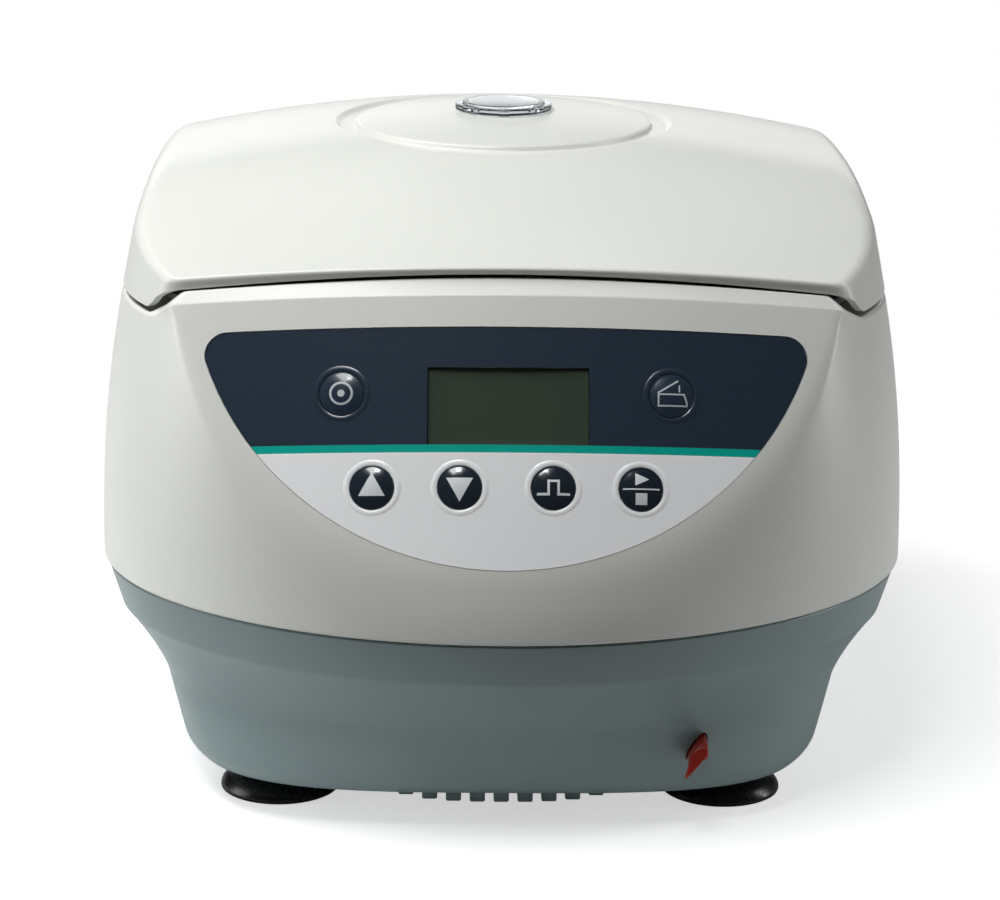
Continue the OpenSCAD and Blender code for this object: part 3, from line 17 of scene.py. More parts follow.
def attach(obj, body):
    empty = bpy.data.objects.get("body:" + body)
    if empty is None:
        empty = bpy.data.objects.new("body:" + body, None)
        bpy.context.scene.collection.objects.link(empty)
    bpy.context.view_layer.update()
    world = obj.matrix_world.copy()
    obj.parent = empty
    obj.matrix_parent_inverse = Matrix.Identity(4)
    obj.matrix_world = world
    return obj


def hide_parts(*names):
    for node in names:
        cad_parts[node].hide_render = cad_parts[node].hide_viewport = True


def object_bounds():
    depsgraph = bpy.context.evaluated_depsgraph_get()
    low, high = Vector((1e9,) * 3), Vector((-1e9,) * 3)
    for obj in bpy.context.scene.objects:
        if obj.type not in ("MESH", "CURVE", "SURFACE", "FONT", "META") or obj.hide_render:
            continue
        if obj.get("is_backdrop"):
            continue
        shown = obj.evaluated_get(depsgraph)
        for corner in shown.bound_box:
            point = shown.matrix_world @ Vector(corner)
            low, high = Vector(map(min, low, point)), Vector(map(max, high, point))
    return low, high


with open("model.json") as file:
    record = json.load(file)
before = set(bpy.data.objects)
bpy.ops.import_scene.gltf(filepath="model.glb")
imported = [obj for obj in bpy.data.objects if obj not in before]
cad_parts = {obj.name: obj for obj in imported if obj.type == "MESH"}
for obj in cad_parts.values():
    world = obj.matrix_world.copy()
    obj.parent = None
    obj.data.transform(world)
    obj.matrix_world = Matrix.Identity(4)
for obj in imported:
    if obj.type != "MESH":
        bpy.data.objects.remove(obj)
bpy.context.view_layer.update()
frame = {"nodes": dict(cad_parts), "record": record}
nodes = frame["nodes"]

# %% [markdown]
# ## Camera
# The photograph was taken from a little above, with a long lens, straight at the keypad.
# The camera is set up from its viewing direction, so that place and tilt can be measured
# once and written down. A long lens keeps upright lines nearly parallel, as in the
# photograph, and roll is the small lean of the picture.

# %% Camera at the photograph's angle
scene = bpy.context.scene
view_yaw = math.radians(-0.78)
view_pitch = math.radians(15.5)
view_roll = math.radians(0.6)
focal_px = 3415.0
picture_px = 1000.0
camera_place = Vector((-0.01742, -1.27988, 0.456))
ahead = Vector((-math.sin(view_yaw) * math.cos(view_pitch),
                math.cos(view_yaw) * math.cos(view_pitch), -math.sin(view_pitch)))
level_right = ahead.cross(Vector((0, 0, 1))).normalized()
level_up = level_right.cross(ahead)
cam_right = math.cos(view_roll) * level_right + math.sin(view_roll) * level_up
cam_up = math.cos(view_roll) * level_up - math.sin(view_roll) * level_right
camera_data = bpy.data.cameras.new("photo_camera")
camera_data.sensor_width = 36.0
camera_data.lens = focal_px / picture_px * camera_data.sensor_width
camera_data.clip_end = 50.0
camera = bpy.data.objects.new("photo_camera", camera_data)
scene.collection.objects.link(camera)
turn = Matrix((cam_right, cam_up, -ahead)).transposed().to_4x4()
camera.matrix_world = Matrix.Translation(camera_place) @ turn
scene.camera = camera
scene.view_settings.view_transform = "Standard"
print("lens", round(camera_data.lens, 1), "mm")

# %% [markdown]
# ## Wiring node trees
# The world, the finishes and Geometry Nodes are all small networks, and the same few steps
# come back in each. A function for each step keeps the later cells short: one puts a value
# or a link on a socket, one brings a range onto another, and one does a sum.

# %% Helpers for node trees
def feed(tree, socket, value):
    """Links another node's output to the socket, or sets a plain value on it."""
    if isinstance(value, bpy.types.NodeSocket):
        tree.links.new(value, socket)
    else:
        socket.default_value = value


def remap(tree, value, start, end, low=0.0, high=1.0, smooth=False):
    """Brings start to end onto low to high, and stays level on both sides."""
    node = tree.nodes.new("ShaderNodeMapRange")
    if smooth:
        node.interpolation_type = "SMOOTHSTEP"
    for label, number in (("From Min", start), ("From Max", end), ("To Min", low), ("To Max", high)):
        node.inputs[label].default_value = number
    feed(tree, node.inputs["Value"], value)
    return node.outputs[0]


def tree_math(tree, operation, first, second=None):
    node = tree.nodes.new("ShaderNodeMath")
    node.operation = operation
    feed(tree, node.inputs[0], first)
    if second is not None:
        feed(tree, node.inputs[1], second)
    return node.outputs[0]


# %% [markdown]
# ## Room
# A product like this is shot on white. Only the camera, and what it sees through the clear
# window, meets a white world. For all other light the world is nearly dark, because a
# bright world would wash the colours out with its reflections.

# %% World and floor plane
room_light = 0.04
floor_half = 4.0

world = bpy.data.worlds.new("white_room")
scene.world = world
world.use_nodes = True
wires = world.node_tree
background = wires.nodes["Background"]
paths = wires.nodes.new("ShaderNodeLightPath")
seen = tree_math(wires, "MAXIMUM", paths.outputs["Is Camera Ray"], paths.outputs["Is Transmission Ray"])
feed(wires, background.inputs["Strength"], remap(wires, seen, 0.0, 1.0, room_light, 1.0))
background.inputs["Color"].default_value = (1.0, 1.0, 1.0, 1.0)

corners = [(x * floor_half, y * floor_half, 0) for x, y in ((-1, -1), (1, -1), (1, 1), (-1, 1))]
floor_mesh = bpy.data.meshes.new("floor")
floor_mesh.from_pydata(corners, [], [(0, 1, 2, 3)])
floor = bpy.data.objects.new("floor", floor_mesh)
scene.collection.objects.link(floor)
floor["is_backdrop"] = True
print("floor:", 2 * floor_half, "m wide")

# %% [markdown]
# ## Lamps
# Area lamps give the calm light of a light tent. The wide one overhead does most of the
# work, the left one fills in, and the narrow one on the right draws the upright streak on
# the glossy side. A small one in front puts a spark on each key, and a card behind lights
# the far rim of the lid.

# %% Lamps from a list
LAMPS = [
    # name, place, aim, size, power in watts
    ("overhead", (-0.42, -0.24, 1.15), (-0.1, -0.05, 0.15), (1.3, 0.4), 14.0),
    ("left_fill", (-1.3, -0.14, 0.4), (0, 0, 0.12), (0.7, 0.8), 6.0),
    ("right_strip", (1.0, -0.02, 0.4), (0.1, 0, 0.14), (0.12, 0.8), 3.0),
    ("spark", (-0.12, -0.95, 1.4), (0, -0.16, 0.15), (0.16, 0.1), 0.9),
    ("back_card", (0, 2.2, 0.62), (0, 0, 0.24), (2.2, 0.7), 6.0)]

for name, place, aim, size, power in LAMPS:
    lamp = bpy.data.lights.new(name, "AREA")
    lamp.shape = "RECTANGLE"
    lamp.size, lamp.size_y = size
    lamp.energy = power
    stand = bpy.data.objects.new(name, lamp)
    stand.location = place
    stand.rotation_euler = (Vector(aim) - Vector(place)).to_track_quat("-Z", "Y").to_euler()
    scene.collection.objects.link(stand)
print(len(LAMPS), "lamps")

# %% [markdown]
# ## Finishes
# Each finish starts from one recipe: a main colour that drifts a little over the surface,
# a roughness that is never quite even, and a fine grain as bump. Real moulded plastic is
# grained by the tool that shaped it, so the grain is small and the drift is large.

# %% The recipe for a finish
def rgb(red, green, blue):
    """A colour as a paint chart gives it, 0 to 255, made linear for the shader."""
    def linear(c):
        c = c / 255.0
        return c / 12.92 if c <= 0.04045 else ((c + 0.055) / 1.055) ** 2.4
    return (linear(red), linear(green), linear(blue), 1.0)


def add_noise(tree, where, scale, detail=3.0):
    noise = tree.nodes.new("ShaderNodeTexNoise")
    noise.inputs["Scale"].default_value = scale
    noise.inputs["Detail"].default_value = detail
    tree.links.new(where, noise.inputs["Vector"])
    return noise.outputs["Fac"]


def spread(tree, noise, low, high):
    """Noise stays mostly between 0.3 and 0.7, so that part is stretched to low to high."""
    return remap(tree, noise, 0.3, 0.7, low, high)


def blend_colour(tree, first, second, amount):
    node = tree.nodes.new("ShaderNodeMix")
    node.data_type = "RGBA"
    for socket, value in ((node.inputs[6], first), (node.inputs[7], second), (node.inputs[0], amount)):
        feed(tree, socket, value)
    return node.outputs[2]


COAT_ROUGH = 0.06
GRAIN_DEPTH = 0.0002


def finish(name, main, drift, rough, grain=1400.0, bump=0.08, metal=0.0, drift_scale=14.0,
           stretch=(1, 1, 1), coat=0.0, spec=0.5):
    """A material: main drifts to drift, rough is (least, most), stretch draws out the grain."""
    mat = bpy.data.materials.new(name)
    mat.use_nodes = True
    tree = mat.node_tree
    shader = tree.nodes["Principled BSDF"]
    shader.inputs["Metallic"].default_value = metal
    shader.inputs["Coat Weight"].default_value = coat
    shader.inputs["Coat Roughness"].default_value = COAT_ROUGH
    shader.inputs["Specular IOR Level"].default_value = spec
    place = tree.nodes.new("ShaderNodeTexCoord").outputs["Object"]
    scaled = tree.nodes.new("ShaderNodeMapping")
    scaled.inputs["Scale"].default_value = stretch
    tree.links.new(place, scaled.inputs["Vector"])
    wide = add_noise(tree, place, drift_scale, 2.0)
    fine = add_noise(tree, scaled.outputs[0], grain, 4.0)
    colour = blend_colour(tree, main, drift, spread(tree, wide, 0.0, 1.0))
    tree.links.new(colour, shader.inputs["Base Color"])
    tree.links.new(spread(tree, fine, rough[0], rough[1]), shader.inputs["Roughness"])
    relief = tree.nodes.new("ShaderNodeBump")
    relief.inputs["Strength"].default_value = bump
    relief.inputs["Distance"].default_value = GRAIN_DEPTH
    tree.links.new(fine, relief.inputs["Height"])
    tree.links.new(relief.outputs[0], shader.inputs["Normal"])
    return mat


# %% [markdown]
# ## The shelf of finishes
# Each real material gets one line, with its colour as a paint chart gives it. Moulded shells
# are satin, printed and clear-coated parts are glossier, and rubber is nearly black. The
# bowl and the plate carriers have a grain drawn out along the way they were worked.

# %% One finish for each material
shell_white = finish("shell_white", rgb(226, 228, 222), rgb(222, 224, 218), (0.27, 0.36), bump=0.05)
base_grey = finish("base_grey", rgb(132, 150, 151), rgb(125, 143, 144), (0.3, 0.4), bump=0.10)
key_navy = finish("key_navy", rgb(30, 41, 51), rgb(26, 36, 46), (0.12, 0.2), coat=0.9, bump=0.02)
film_navy = finish("film_navy", rgb(36, 50, 64), rgb(40, 54, 69), (0.18, 0.26), coat=0.5, bump=0.02)
symbol_white = finish("symbol_white", rgb(226, 230, 232), rgb(216, 221, 224), (0.3, 0.4), bump=0.02)
symbol_pale = finish("symbol_pale", rgb(196, 202, 206), rgb(186, 192, 197), (0.3, 0.4), bump=0.02)
board_green = finish("board_green", rgb(22, 84, 56), rgb(16, 68, 44), (0.3, 0.45), grain=500.0)
black_plastic = finish("black_plastic", rgb(30, 30, 32), rgb(22, 22, 24), (0.4, 0.55), bump=0.2)
rubber = finish("rubber", rgb(8, 8, 9), rgb(12, 12, 13), (0.24, 0.36), grain=900.0, bump=0.12)
steel = finish("steel", rgb(176, 178, 180), rgb(160, 162, 165), (0.22, 0.36), metal=1.0, bump=0.05)
zinc_sheet = finish("zinc_sheet", rgb(168, 172, 175), rgb(138, 143, 148), (0.34, 0.55), metal=1.0,
                    grain=240.0, drift_scale=60.0, bump=0.06)
dark_metal = finish("dark_metal", rgb(52, 54, 58), rgb(44, 46, 50), (0.36, 0.5), metal=0.6, bump=0.15)
carrier_metal = finish("carrier_metal", rgb(142, 147, 152), rgb(126, 131, 137), (0.32, 0.45),
                       metal=1.0, bump=0.12, stretch=(0.06, 1, 1))
liner_grey = finish("liner_grey", rgb(198, 201, 200), rgb(190, 193, 192), (0.4, 0.5), bump=0.12)
tab_red = finish("tab_red", rgb(158, 44, 30), rgb(146, 38, 26), (0.2, 0.28), coat=0.3, bump=0.02)
brass = finish("brass", rgb(196, 168, 104), rgb(178, 148, 88), (0.25, 0.4), metal=1.0)
bowl_steel = finish("bowl_steel", rgb(186, 188, 190), rgb(168, 170, 173), (0.2, 0.4), metal=1.0,
                    stretch=(1, 1, 0.03), bump=0.08)
print(len(bpy.data.materials), "finishes so far")

# %% [markdown]
# ## The floor's own finish
# The floor is pale and mat. The camera sees it a little brighter than it is, and further
# out it fades to plain white, so that it runs into the white room and still keeps the soft
# shadow under the object. In front of the object it is dark for all light but the
# camera's, like the edge of a table, so that it doesn't light the front from below.

# %% Floor finish
TABLE_EDGE = (-0.30, -0.20)
FLOOR_GLOW = 0.58
FADE_OUT = (0.18, 0.5)

floor_mat = finish("floor_white", rgb(238, 239, 240), rgb(234, 235, 236), (0.7, 0.8), grain=60.0,
                   bump=0.0, spec=0.1)
tree = floor_mat.node_tree
shader = tree.nodes["Principled BSDF"]
pale = shader.inputs["Base Color"].links[0].from_socket
floor_place = tree.nodes["Texture Coordinate"].outputs["Object"]
in_view = tree.nodes.new("ShaderNodeLightPath").outputs["Is Camera Ray"]

front = tree.nodes.new("ShaderNodeSeparateXYZ")
feed(tree, front.inputs[0], floor_place)
behind_edge = remap(tree, front.outputs["Y"], *TABLE_EDGE, smooth=True)
lit = tree_math(tree, "MAXIMUM", behind_edge, in_view)
feed(tree, shader.inputs["Base Color"], blend_colour(tree, rgb(24, 24, 25), pale, lit))

glow = tree.nodes.new("ShaderNodeEmission")
feed(tree, glow.inputs["Strength"], remap(tree, in_view, 0.0, 1.0, 0.0, FLOOR_GLOW))
both = tree.nodes.new("ShaderNodeAddShader")
feed(tree, both.inputs[0], shader.outputs[0])
feed(tree, both.inputs[1], glow.outputs[0])

away = tree.nodes.new("ShaderNodeVectorMath")
away.operation = "LENGTH"
feed(tree, away.inputs[0], floor_place)
fade = remap(tree, away.outputs["Value"], *FADE_OUT, smooth=True)
bright = tree.nodes.new("ShaderNodeEmission")
blend = tree.nodes.new("ShaderNodeMixShader")
feed(tree, blend.inputs[0], tree_math(tree, "MULTIPLY", fade, in_view))
feed(tree, blend.inputs[1], both.outputs[0])
feed(tree, blend.inputs[2], bright.outputs[0])
feed(tree, tree.nodes["Material Output"].inputs["Surface"], blend.outputs[0])
floor.data.materials.append(floor_mat)

# %% [markdown]
# ## Meshes from rows of points
# The shells of this product are not boxes with rounded edges: each has a plan outline that
# changes with height. Such a form is easiest as rows: one closed section for each angle
# around the plan, joined into a skin of small four-sided faces.

# %% Rows of points to a closed skin
MM = 0.001


def finished(obj, body, material, replaces=()):
    """Puts a finished piece on its body, with its material."""
    if material is not None:
        obj.data.materials.clear()
        obj.data.materials.append(material)
    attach(obj, body)
    if replaces:
        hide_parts(*replaces)
    print(f"{obj.name}: {len(obj.data.polygons)} faces on {body}")
    return obj


def new_object(name, mesh):
    obj = bpy.data.objects.new(name, mesh)
    scene.collection.objects.link(obj)
    return obj


def mesh_of(name, points, faces, smooth=True):
    mesh = bpy.data.meshes.new(name)
    mesh.from_pydata([tuple(p) for p in np.asarray(points, float) * MM], [], faces)
    work = bmesh.new()
    work.from_mesh(mesh)
    if work.calc_volume(signed=True) < 0:
        bmesh.ops.reverse_faces(work, faces=work.faces)
    work.to_mesh(mesh)
    work.free()
    if smooth:
        mesh.shade_smooth()
    return mesh


def skin(name, columns):
    """columns: one row of points for each angle, closed along the row and around."""
    n, m, _ = columns.shape
    index = np.arange(n * m).reshape(n, m)
    a, b = index, np.roll(index, -1, axis=0)
    c, d = np.roll(b, -1, axis=1), np.roll(a, -1, axis=1)
    faces = np.stack([a, b, c, d], axis=-1).reshape(-1, 4).tolist()
    return new_object(name, mesh_of(name, columns.reshape(-1, 3), faces))


def soften(stops, steps=4):
    """stops: (points, radius) along a closed row. Each corner with a radius is rounded."""
    out = []
    for i, (here, radius) in enumerate(stops):
        if radius <= 0:
            out.append(here)
            continue
        before, after = stops[i - 1][0], stops[(i + 1) % len(stops)][0]
        ends = []
        for other in (before, after):
            gap = np.linalg.norm(other - here, axis=1, keepdims=True)
            ends.append(here + (other - here) * np.minimum(radius / np.maximum(gap, 1e-6), 0.46))
        for u in np.linspace(0, 1, steps + 1):
            out.append((1 - u) ** 2 * ends[0] + 2 * u * (1 - u) * here + u * u * ends[1])
    return np.stack(out, axis=1)


# %% [markdown]
# ## Cutting and cleaning
# Openings are cut with the Boolean modifier. Its result is read back as a plain mesh, so
# no modifier stays on the piece. Edges that turn sharply are then marked, and the normals
# are weighted by face area, which keeps big curved faces free of smudges around a hole.

# %% Booleans, sharp edges and weighted normals
def settle(obj):
    """Replaces the object's mesh with what its modifiers make of it."""
    bpy.context.view_layer.update()
    ready = obj.evaluated_get(bpy.context.evaluated_depsgraph_get())
    mesh = bpy.data.meshes.new_from_object(ready)
    old = obj.data
    obj.modifiers.clear()
    obj.data = mesh
    mesh.name = obj.name
    if old.users == 0:
        bpy.data.meshes.remove(old)
    return obj


def carve(obj, cutters, joins=()):
    for mode, others in (("UNION", joins), ("DIFFERENCE", cutters)):
        for other in others:
            step = obj.modifiers.new("cut", "BOOLEAN")
            step.operation = mode
            step.solver = "MANIFOLD"
            step.object = other
    settle(obj)
    for other in list(cutters) + list(joins):
        bpy.data.objects.remove(other)
    return obj


def even_normals(obj, angle=32.0):
    obj.data.shade_smooth()
    obj.data.set_sharp_from_angle(angle=math.radians(angle))
    step = obj.modifiers.new("normals", "WEIGHTED_NORMAL")
    step.keep_sharp = True
    step.weight = 60
    return settle(obj)


def prism(name, outline, low, high, place=None):
    """A straight solid from a flat outline, between two heights of its own frame."""
    outline = [tuple(p) for p in outline]
    n = len(outline)
    points = [(x, y, low) for x, y in outline] + [(x, y, high) for x, y in outline]
    if place is not None:
        points = [place @ Vector(p) for p in points]
    faces = [tuple(range(n))[::-1], tuple(range(n, 2 * n))]
    faces += [(i, (i + 1) % n, n + (i + 1) % n, n + i) for i in range(n)]
    return new_object(name, mesh_of(name, points, faces, smooth=False))


def circle(r, sides=48, x=0.0, y=0.0):
    return [(x + r * math.cos(2 * math.pi * i / sides), y + r * math.sin(2 * math.pi * i / sides))
            for i in range(sides)]


def arc(r, start, end, x=0.0, y=0.0, steps=24):
    return [(x + r * math.cos(math.radians(a)), y + r * math.sin(math.radians(a)))
            for a in np.linspace(start, end, steps)]


def oblong(x0, x1, y0, y1):
    return [(x0, y0), (x1, y0), (x1, y1), (x0, y1)]


# %% [markdown]
# ## The rule behind the shells
# Seen from above the housing is an oval at the front and a rounded square at the back.
# Each outline is a radius for an angle around a point on the widest line: th is 0 at the
# front and 180 at the rear, and positive to the right. The control face is a leaning,
# gently curved cut through the front. The nearer of the two surfaces counts, and close to
# where they meet a blend rounds the edge.

# %% Plan outline and control face
BODY_W = 294.0
BODY_L = 366.0
FRONT_BULGE = 118.0
SEAM_Z = 82.0
SIDE_PART_Z = 181.5
WALL = 3.0
FACE_LEAN = 25.4
FACE_R = 536.0
FACE_FOOT_Z = 99.0

HALF_W = BODY_W / 2
END_Y = BODY_L / 2
WIDE_Y = FRONT_BULGE - END_Y
REAR_R = BODY_L - FRONT_BULGE
REAR_POWER = 7.0
SHELL_LOW = SEAM_Z + 0.4
FACE_FOOT_Y = 0.5 - END_Y
FACE_TAN = math.tan(math.radians(FACE_LEAN))
FACE_PLAN_R = FACE_R * math.cos(math.radians(FACE_LEAN))
# Beyond this angle from the front the control face can't be met.
FACE_SIDE = 100


def sind(a):
    return np.sin(np.radians(a))


def cosd(a):
    return np.cos(np.radians(a))


def clamp01(t):
    return np.clip(t, 0.0, 1.0)


def ease(t):
    u = clamp01(t)
    return u * u * (3 - 2 * u)


def mix(a, b, t):
    return a + (b - a) * t


def soft_min(a, b, k):
    """The lesser of two values, with the corner between them rounded over k."""
    return np.minimum(a, b) - (np.maximum(k - np.abs(a - b), 0) / k) ** 2 * k / 4


def soft_ramp(t, w):
    """Rises from zero like a ramp, with a bend that is w wide."""
    return (np.sqrt(t * t + w * w) + t) / 2


def oval_r(across, along, power):
    """Radius of a superellipse. The floor keeps the half that isn't used finite."""
    return np.maximum(across ** power + along ** power, 1e-30) ** (-1.0 / power)


def plan_r(th, half_width, front, rear, front_power):
    s, c = np.abs(sind(th)) / half_width, cosd(th)
    return np.where(c > 0, oval_r(s, np.maximum(c, 0) / front, front_power),
                    oval_r(s, np.maximum(-c, 0) / rear, REAR_POWER))


def shell_r(th, z):
    """Side wall of the white shell: it draws in towards the top, most at the sides."""
    t = clamp01((z - SEAM_Z - 3) / 98.0)
    return plan_r(th, HALF_W - 9 * t ** 2.2, FRONT_BULGE - 3 * t ** 2, REAR_R - 4 * t, 2.0)


# %% [markdown]
# The edge around the control face isn't even: at its foot it is a broad round, and it gets
# crisp towards the top. So the width of the blend falls with the height.

# %% Control face in the plan
EDGE_CRISP = 1.1
EDGE_BROAD = 7.9
EDGE_RISE = 90.0


def face_plan(th, z):
    """Distance from the plan's middle to the curved, leaning face."""
    q, b = sind(th) ** 2 / (2 * FACE_PLAN_R), cosd(th)
    c = FACE_FOOT_Y + (z - FACE_FOOT_Z) * FACE_TAN - WIDE_Y
    d = np.sqrt(np.maximum(b * b - 4 * q * c, 0))
    safe = np.maximum(q, 1e-7)
    return np.where(q > 1e-7, (d - b) / (2 * safe), -c / np.where(np.abs(b) < 1e-6, 1e-6, b))


def upper_r(th, z):
    edge = EDGE_CRISP + EDGE_BROAD * clamp01(1 - (z - FACE_FOOT_Z) / EDGE_RISE) ** 1.5
    plain = shell_r(th, z)
    return np.where(np.abs(th) < FACE_SIDE, soft_min(plain, face_plan(th, z), edge), plain)


def on_plan(th, r, z):
    r, z = np.broadcast_arrays(np.asarray(r, float), np.asarray(z, float))
    return np.stack([r * sind(th), WIDE_Y - r * cosd(th), z + 0 * th], axis=-1)


def plan_y(th, r):
    return WIDE_Y - r * cosd(th)


# Stations stand closest at the face's edges and the lid corners, then at the rear corners.
half_ring = np.concatenate([
    np.arange(0, 24, 1.5), np.arange(24, 60, 0.6), np.arange(60, 73, 0.45),
    np.arange(73, 130, 1.5), np.arange(130, 166, 0.9), np.arange(166, 180.01, 1.4)])
half_ring[-1] = 180.0
ring = np.concatenate([half_ring, -half_ring[-2:0:-1]])
print("around the plan:", len(ring), "stations")

# %% [markdown]
# ## Upper shell
# The white shell rises from the seam to a shelf that frames the control face, then drops
# to the deck around the chamber mouth. The control face, the shelf and the side walls are
# one moulding, so they are one skin here, with small rounds where the real tool has them.

# %% Heights of the shelf and the deck
FACE_FILM_T = 0.6
POCKET = FACE_FILM_T + 0.3
DECK_Z = SIDE_PART_Z - 1.5
DECK_T = 3.0
MOUTH_R = 120.5
REAR_PART_Z = 172.0
REAR_INNER_Y = END_Y - 8.5
SHELF_Z = 194.3
SHELF_Y = 45.8 - END_Y
SHELF_FALL = 0.66
SHELF_IN = 5.3
SHELF_UP = 4.4
RIDGE_T = 2.6
STEP_FROM = 65.6


def shelf_line(th):
    """The shelf drops as it runs back along the curved face, found in a few rounds."""
    near = np.minimum(np.abs(th), STEP_FROM + 1)
    z = np.full_like(th, SHELF_Z)
    for _ in range(3):
        z = SHELF_Z - SHELF_FALL * (plan_y(near, upper_r(near, z)) - SHELF_Y)
    return z


def rear_blend(y):
    return ease((y - END_Y + 33) / 14.0)


def circle_plan(th, r, y=0.0):
    """Distance from the plan's middle to a circle about x = 0 and this y."""
    off = WIDE_Y - y
    return off * cosd(th) + np.sqrt(r * r - (off * sind(th)) ** 2)


def rear_limit(th, r, y):
    """Keeps r in front of a flat rear wall at y."""
    limit = (y - WIDE_Y) / np.maximum(-cosd(th), 0.05)
    return np.where(cosd(th) < -0.05, np.minimum(r, limit), r)


def inner_r(th, z):
    return rear_limit(th, upper_r(th, z) - WALL, REAR_INNER_Y)


# %% [markdown]
# The section runs up the outside, over the shelf, down to the deck and back inside. At the
# sides and the rear there is no shelf, so its measures shrink to those of a plain rim.

# %% Upper shell section for every angle
def upper_columns(th):
    f = ease((np.abs(th) - STEP_FROM) / 4.0)
    rim = mix(SIDE_PART_Z, REAR_PART_Z, rear_blend(plan_y(th, shell_r(th, SIDE_PART_Z + 0 * th))))
    top = mix(shelf_line(th), rim - 1, f)
    up, ins, flat = mix(SHELF_UP, 1, f), mix(SHELF_IN, 1, f), mix(RIDGE_T, 1.6, f)
    rt = upper_r(th, top)
    back = rear_blend(plan_y(th, rt))
    drop = (SIDE_PART_Z - REAR_PART_Z) * back
    r1, deck_edge = rt - ins - flat, DECK_Z - drop
    ro = circle_plan(th, MOUTH_R)
    r2 = np.maximum(r1 - mix(0.6, 16, back), ro + 2)
    under = deck_edge - DECK_T
    one = np.ones_like(th)
    low_r = upper_r(th, SHELL_LOW * one)
    stops = [(on_plan(th, low_r - 1.0, SHELL_LOW * one), 0.3)]
    for t in np.linspace(0, 1, 76):
        z = mix(SHELL_LOW + 0.8, top, t)
        stops.append((on_plan(th, upper_r(th, z), z), 0.5 if t in (0, 1) else 0))
    stops += [
        (on_plan(th, rt - ins, top + up), 0.55),
        (on_plan(th, r1, top + up), 0.7),
        (on_plan(th, r1 - 0.3, deck_edge), 0.3),
        (on_plan(th, r2, DECK_Z * one), 0.3),
        (on_plan(th, ro + 0.6, DECK_Z * one), 0.3),
        (on_plan(th, ro, (DECK_Z - 0.6) * one), 0.2),
        (on_plan(th, ro, (DECK_Z - DECK_T) * one), 0),
        (on_plan(th, np.maximum(r2 - 1, ro + 1), (DECK_Z - DECK_T) * one), 0),
        (on_plan(th, np.minimum(inner_r(th, under) - 0.2, np.maximum(r1 - 1, ro + 1.4)), under), 0),
        (on_plan(th, inner_r(th, under), under - 0.2), 0)]
    for t in np.linspace(0.12, 1, 9):
        z = mix(under, SHELL_LOW, t)
        stops.append((on_plan(th, inner_r(th, z), z), 0))
    return soften(stops)


upper = skin("upper_housing", upper_columns(ring))
print("upper shell:", len(upper.data.polygons), "faces before cutting")

# %% [markdown]
# ## The frame of the control face
# Everything on the keypad is placed on the face by two distances: across it and up it.
# A matrix turns those into the shell's frame, and a spot on the curved face also turns
# with the face, so that a key stands square to the surface under it.

# %% Face frame, spots on it and the keypad outline
FACE = (Matrix.Translation((0, FACE_FOOT_Y, FACE_FOOT_Z))
        @ Matrix.Rotation(math.radians(90 - FACE_LEAN), 4, "X"))
KEY_R = 7.6
KEY_GAP = 0.3
KEY_PITCH = 29.9
LOWER_S = 38.5
UPPER_S = 71.2
UPPER_U = 56.5
LCD_S, LCD_W, LCD_H, LCD_X = 66.9, 55.3, 26.8, 0.6
KEY_SPOTS = {
    "set_key": ("key_set", -UPPER_U, UPPER_S),
    "open_key": ("key_open", UPPER_U, UPPER_S),
    "up_key": ("key_up", -1.5 * KEY_PITCH - 0.9, LOWER_S),
    "down_key": ("key_down", -0.5 * KEY_PITCH - 0.9, LOWER_S),
    "short_key": ("key_short", 0.5 * KEY_PITCH + 1.1, LOWER_S),
    "start_key": ("key_start", 1.5 * KEY_PITCH + 1.1, LOWER_S)}


def on_face(u, s):
    """A frame on the curved face, u across and s up it, with z square to the surface."""
    return (FACE @ Matrix.Translation((0, 0, -FACE_R))
            @ Matrix.Rotation(math.asin(u / FACE_R), 4, "Y") @ Matrix.Translation((0, s, FACE_R)))


def sunk(x, depth):
    """Height of the curved face over its frame at x, less a depth under it."""
    return np.sqrt((FACE_R - depth) ** 2 - x * x) - FACE_R


def window_outline(gap):
    """The display's outline, larger all around by the gap."""
    return oblong(LCD_X - LCD_W / 2 - gap, LCD_X + LCD_W / 2 + gap,
                  LCD_S - LCD_H / 2 - gap, LCD_S + LCD_H / 2 + gap)


# %% [markdown]
# The keypad's outline has a slightly arched top, two round corners and one wide bow. Each
# corner is an arc that touches both, and its middle is found by stepping towards it.

# %% The keypad's outline and slabs cut to it
FILM_R = 110.0
FILM_CENTRE = 119.8
FILM_TOP = 94.4
FILM_ARCH = 2 * 5200.0
FILM_CORNER = 8.0
FILM_HUB = 62.0


def film_outline(grow):
    bow, corner = FILM_R + grow, FILM_CORNER + grow
    u = 90.0
    for _ in range(30):
        s = FILM_TOP + grow - u * u / FILM_ARCH - corner
        u = math.sqrt((bow - corner) ** 2 - (s - FILM_CENTRE) ** 2)
    lean = math.degrees(math.atan2(FILM_CENTRE - s, u))
    top = [(x, FILM_TOP + grow - x * x / FILM_ARCH) for x in np.linspace(-u, u, 60)]
    right = arc(corner, 90, -lean, u, s, 16)[1:]
    low = arc(bow, -lean, -180 + lean, 0, FILM_CENTRE, 150)[1:]
    left = arc(corner, -180 + lean, -270, -u, s, 16)[1:-1]
    return np.array(top + right + low + left)


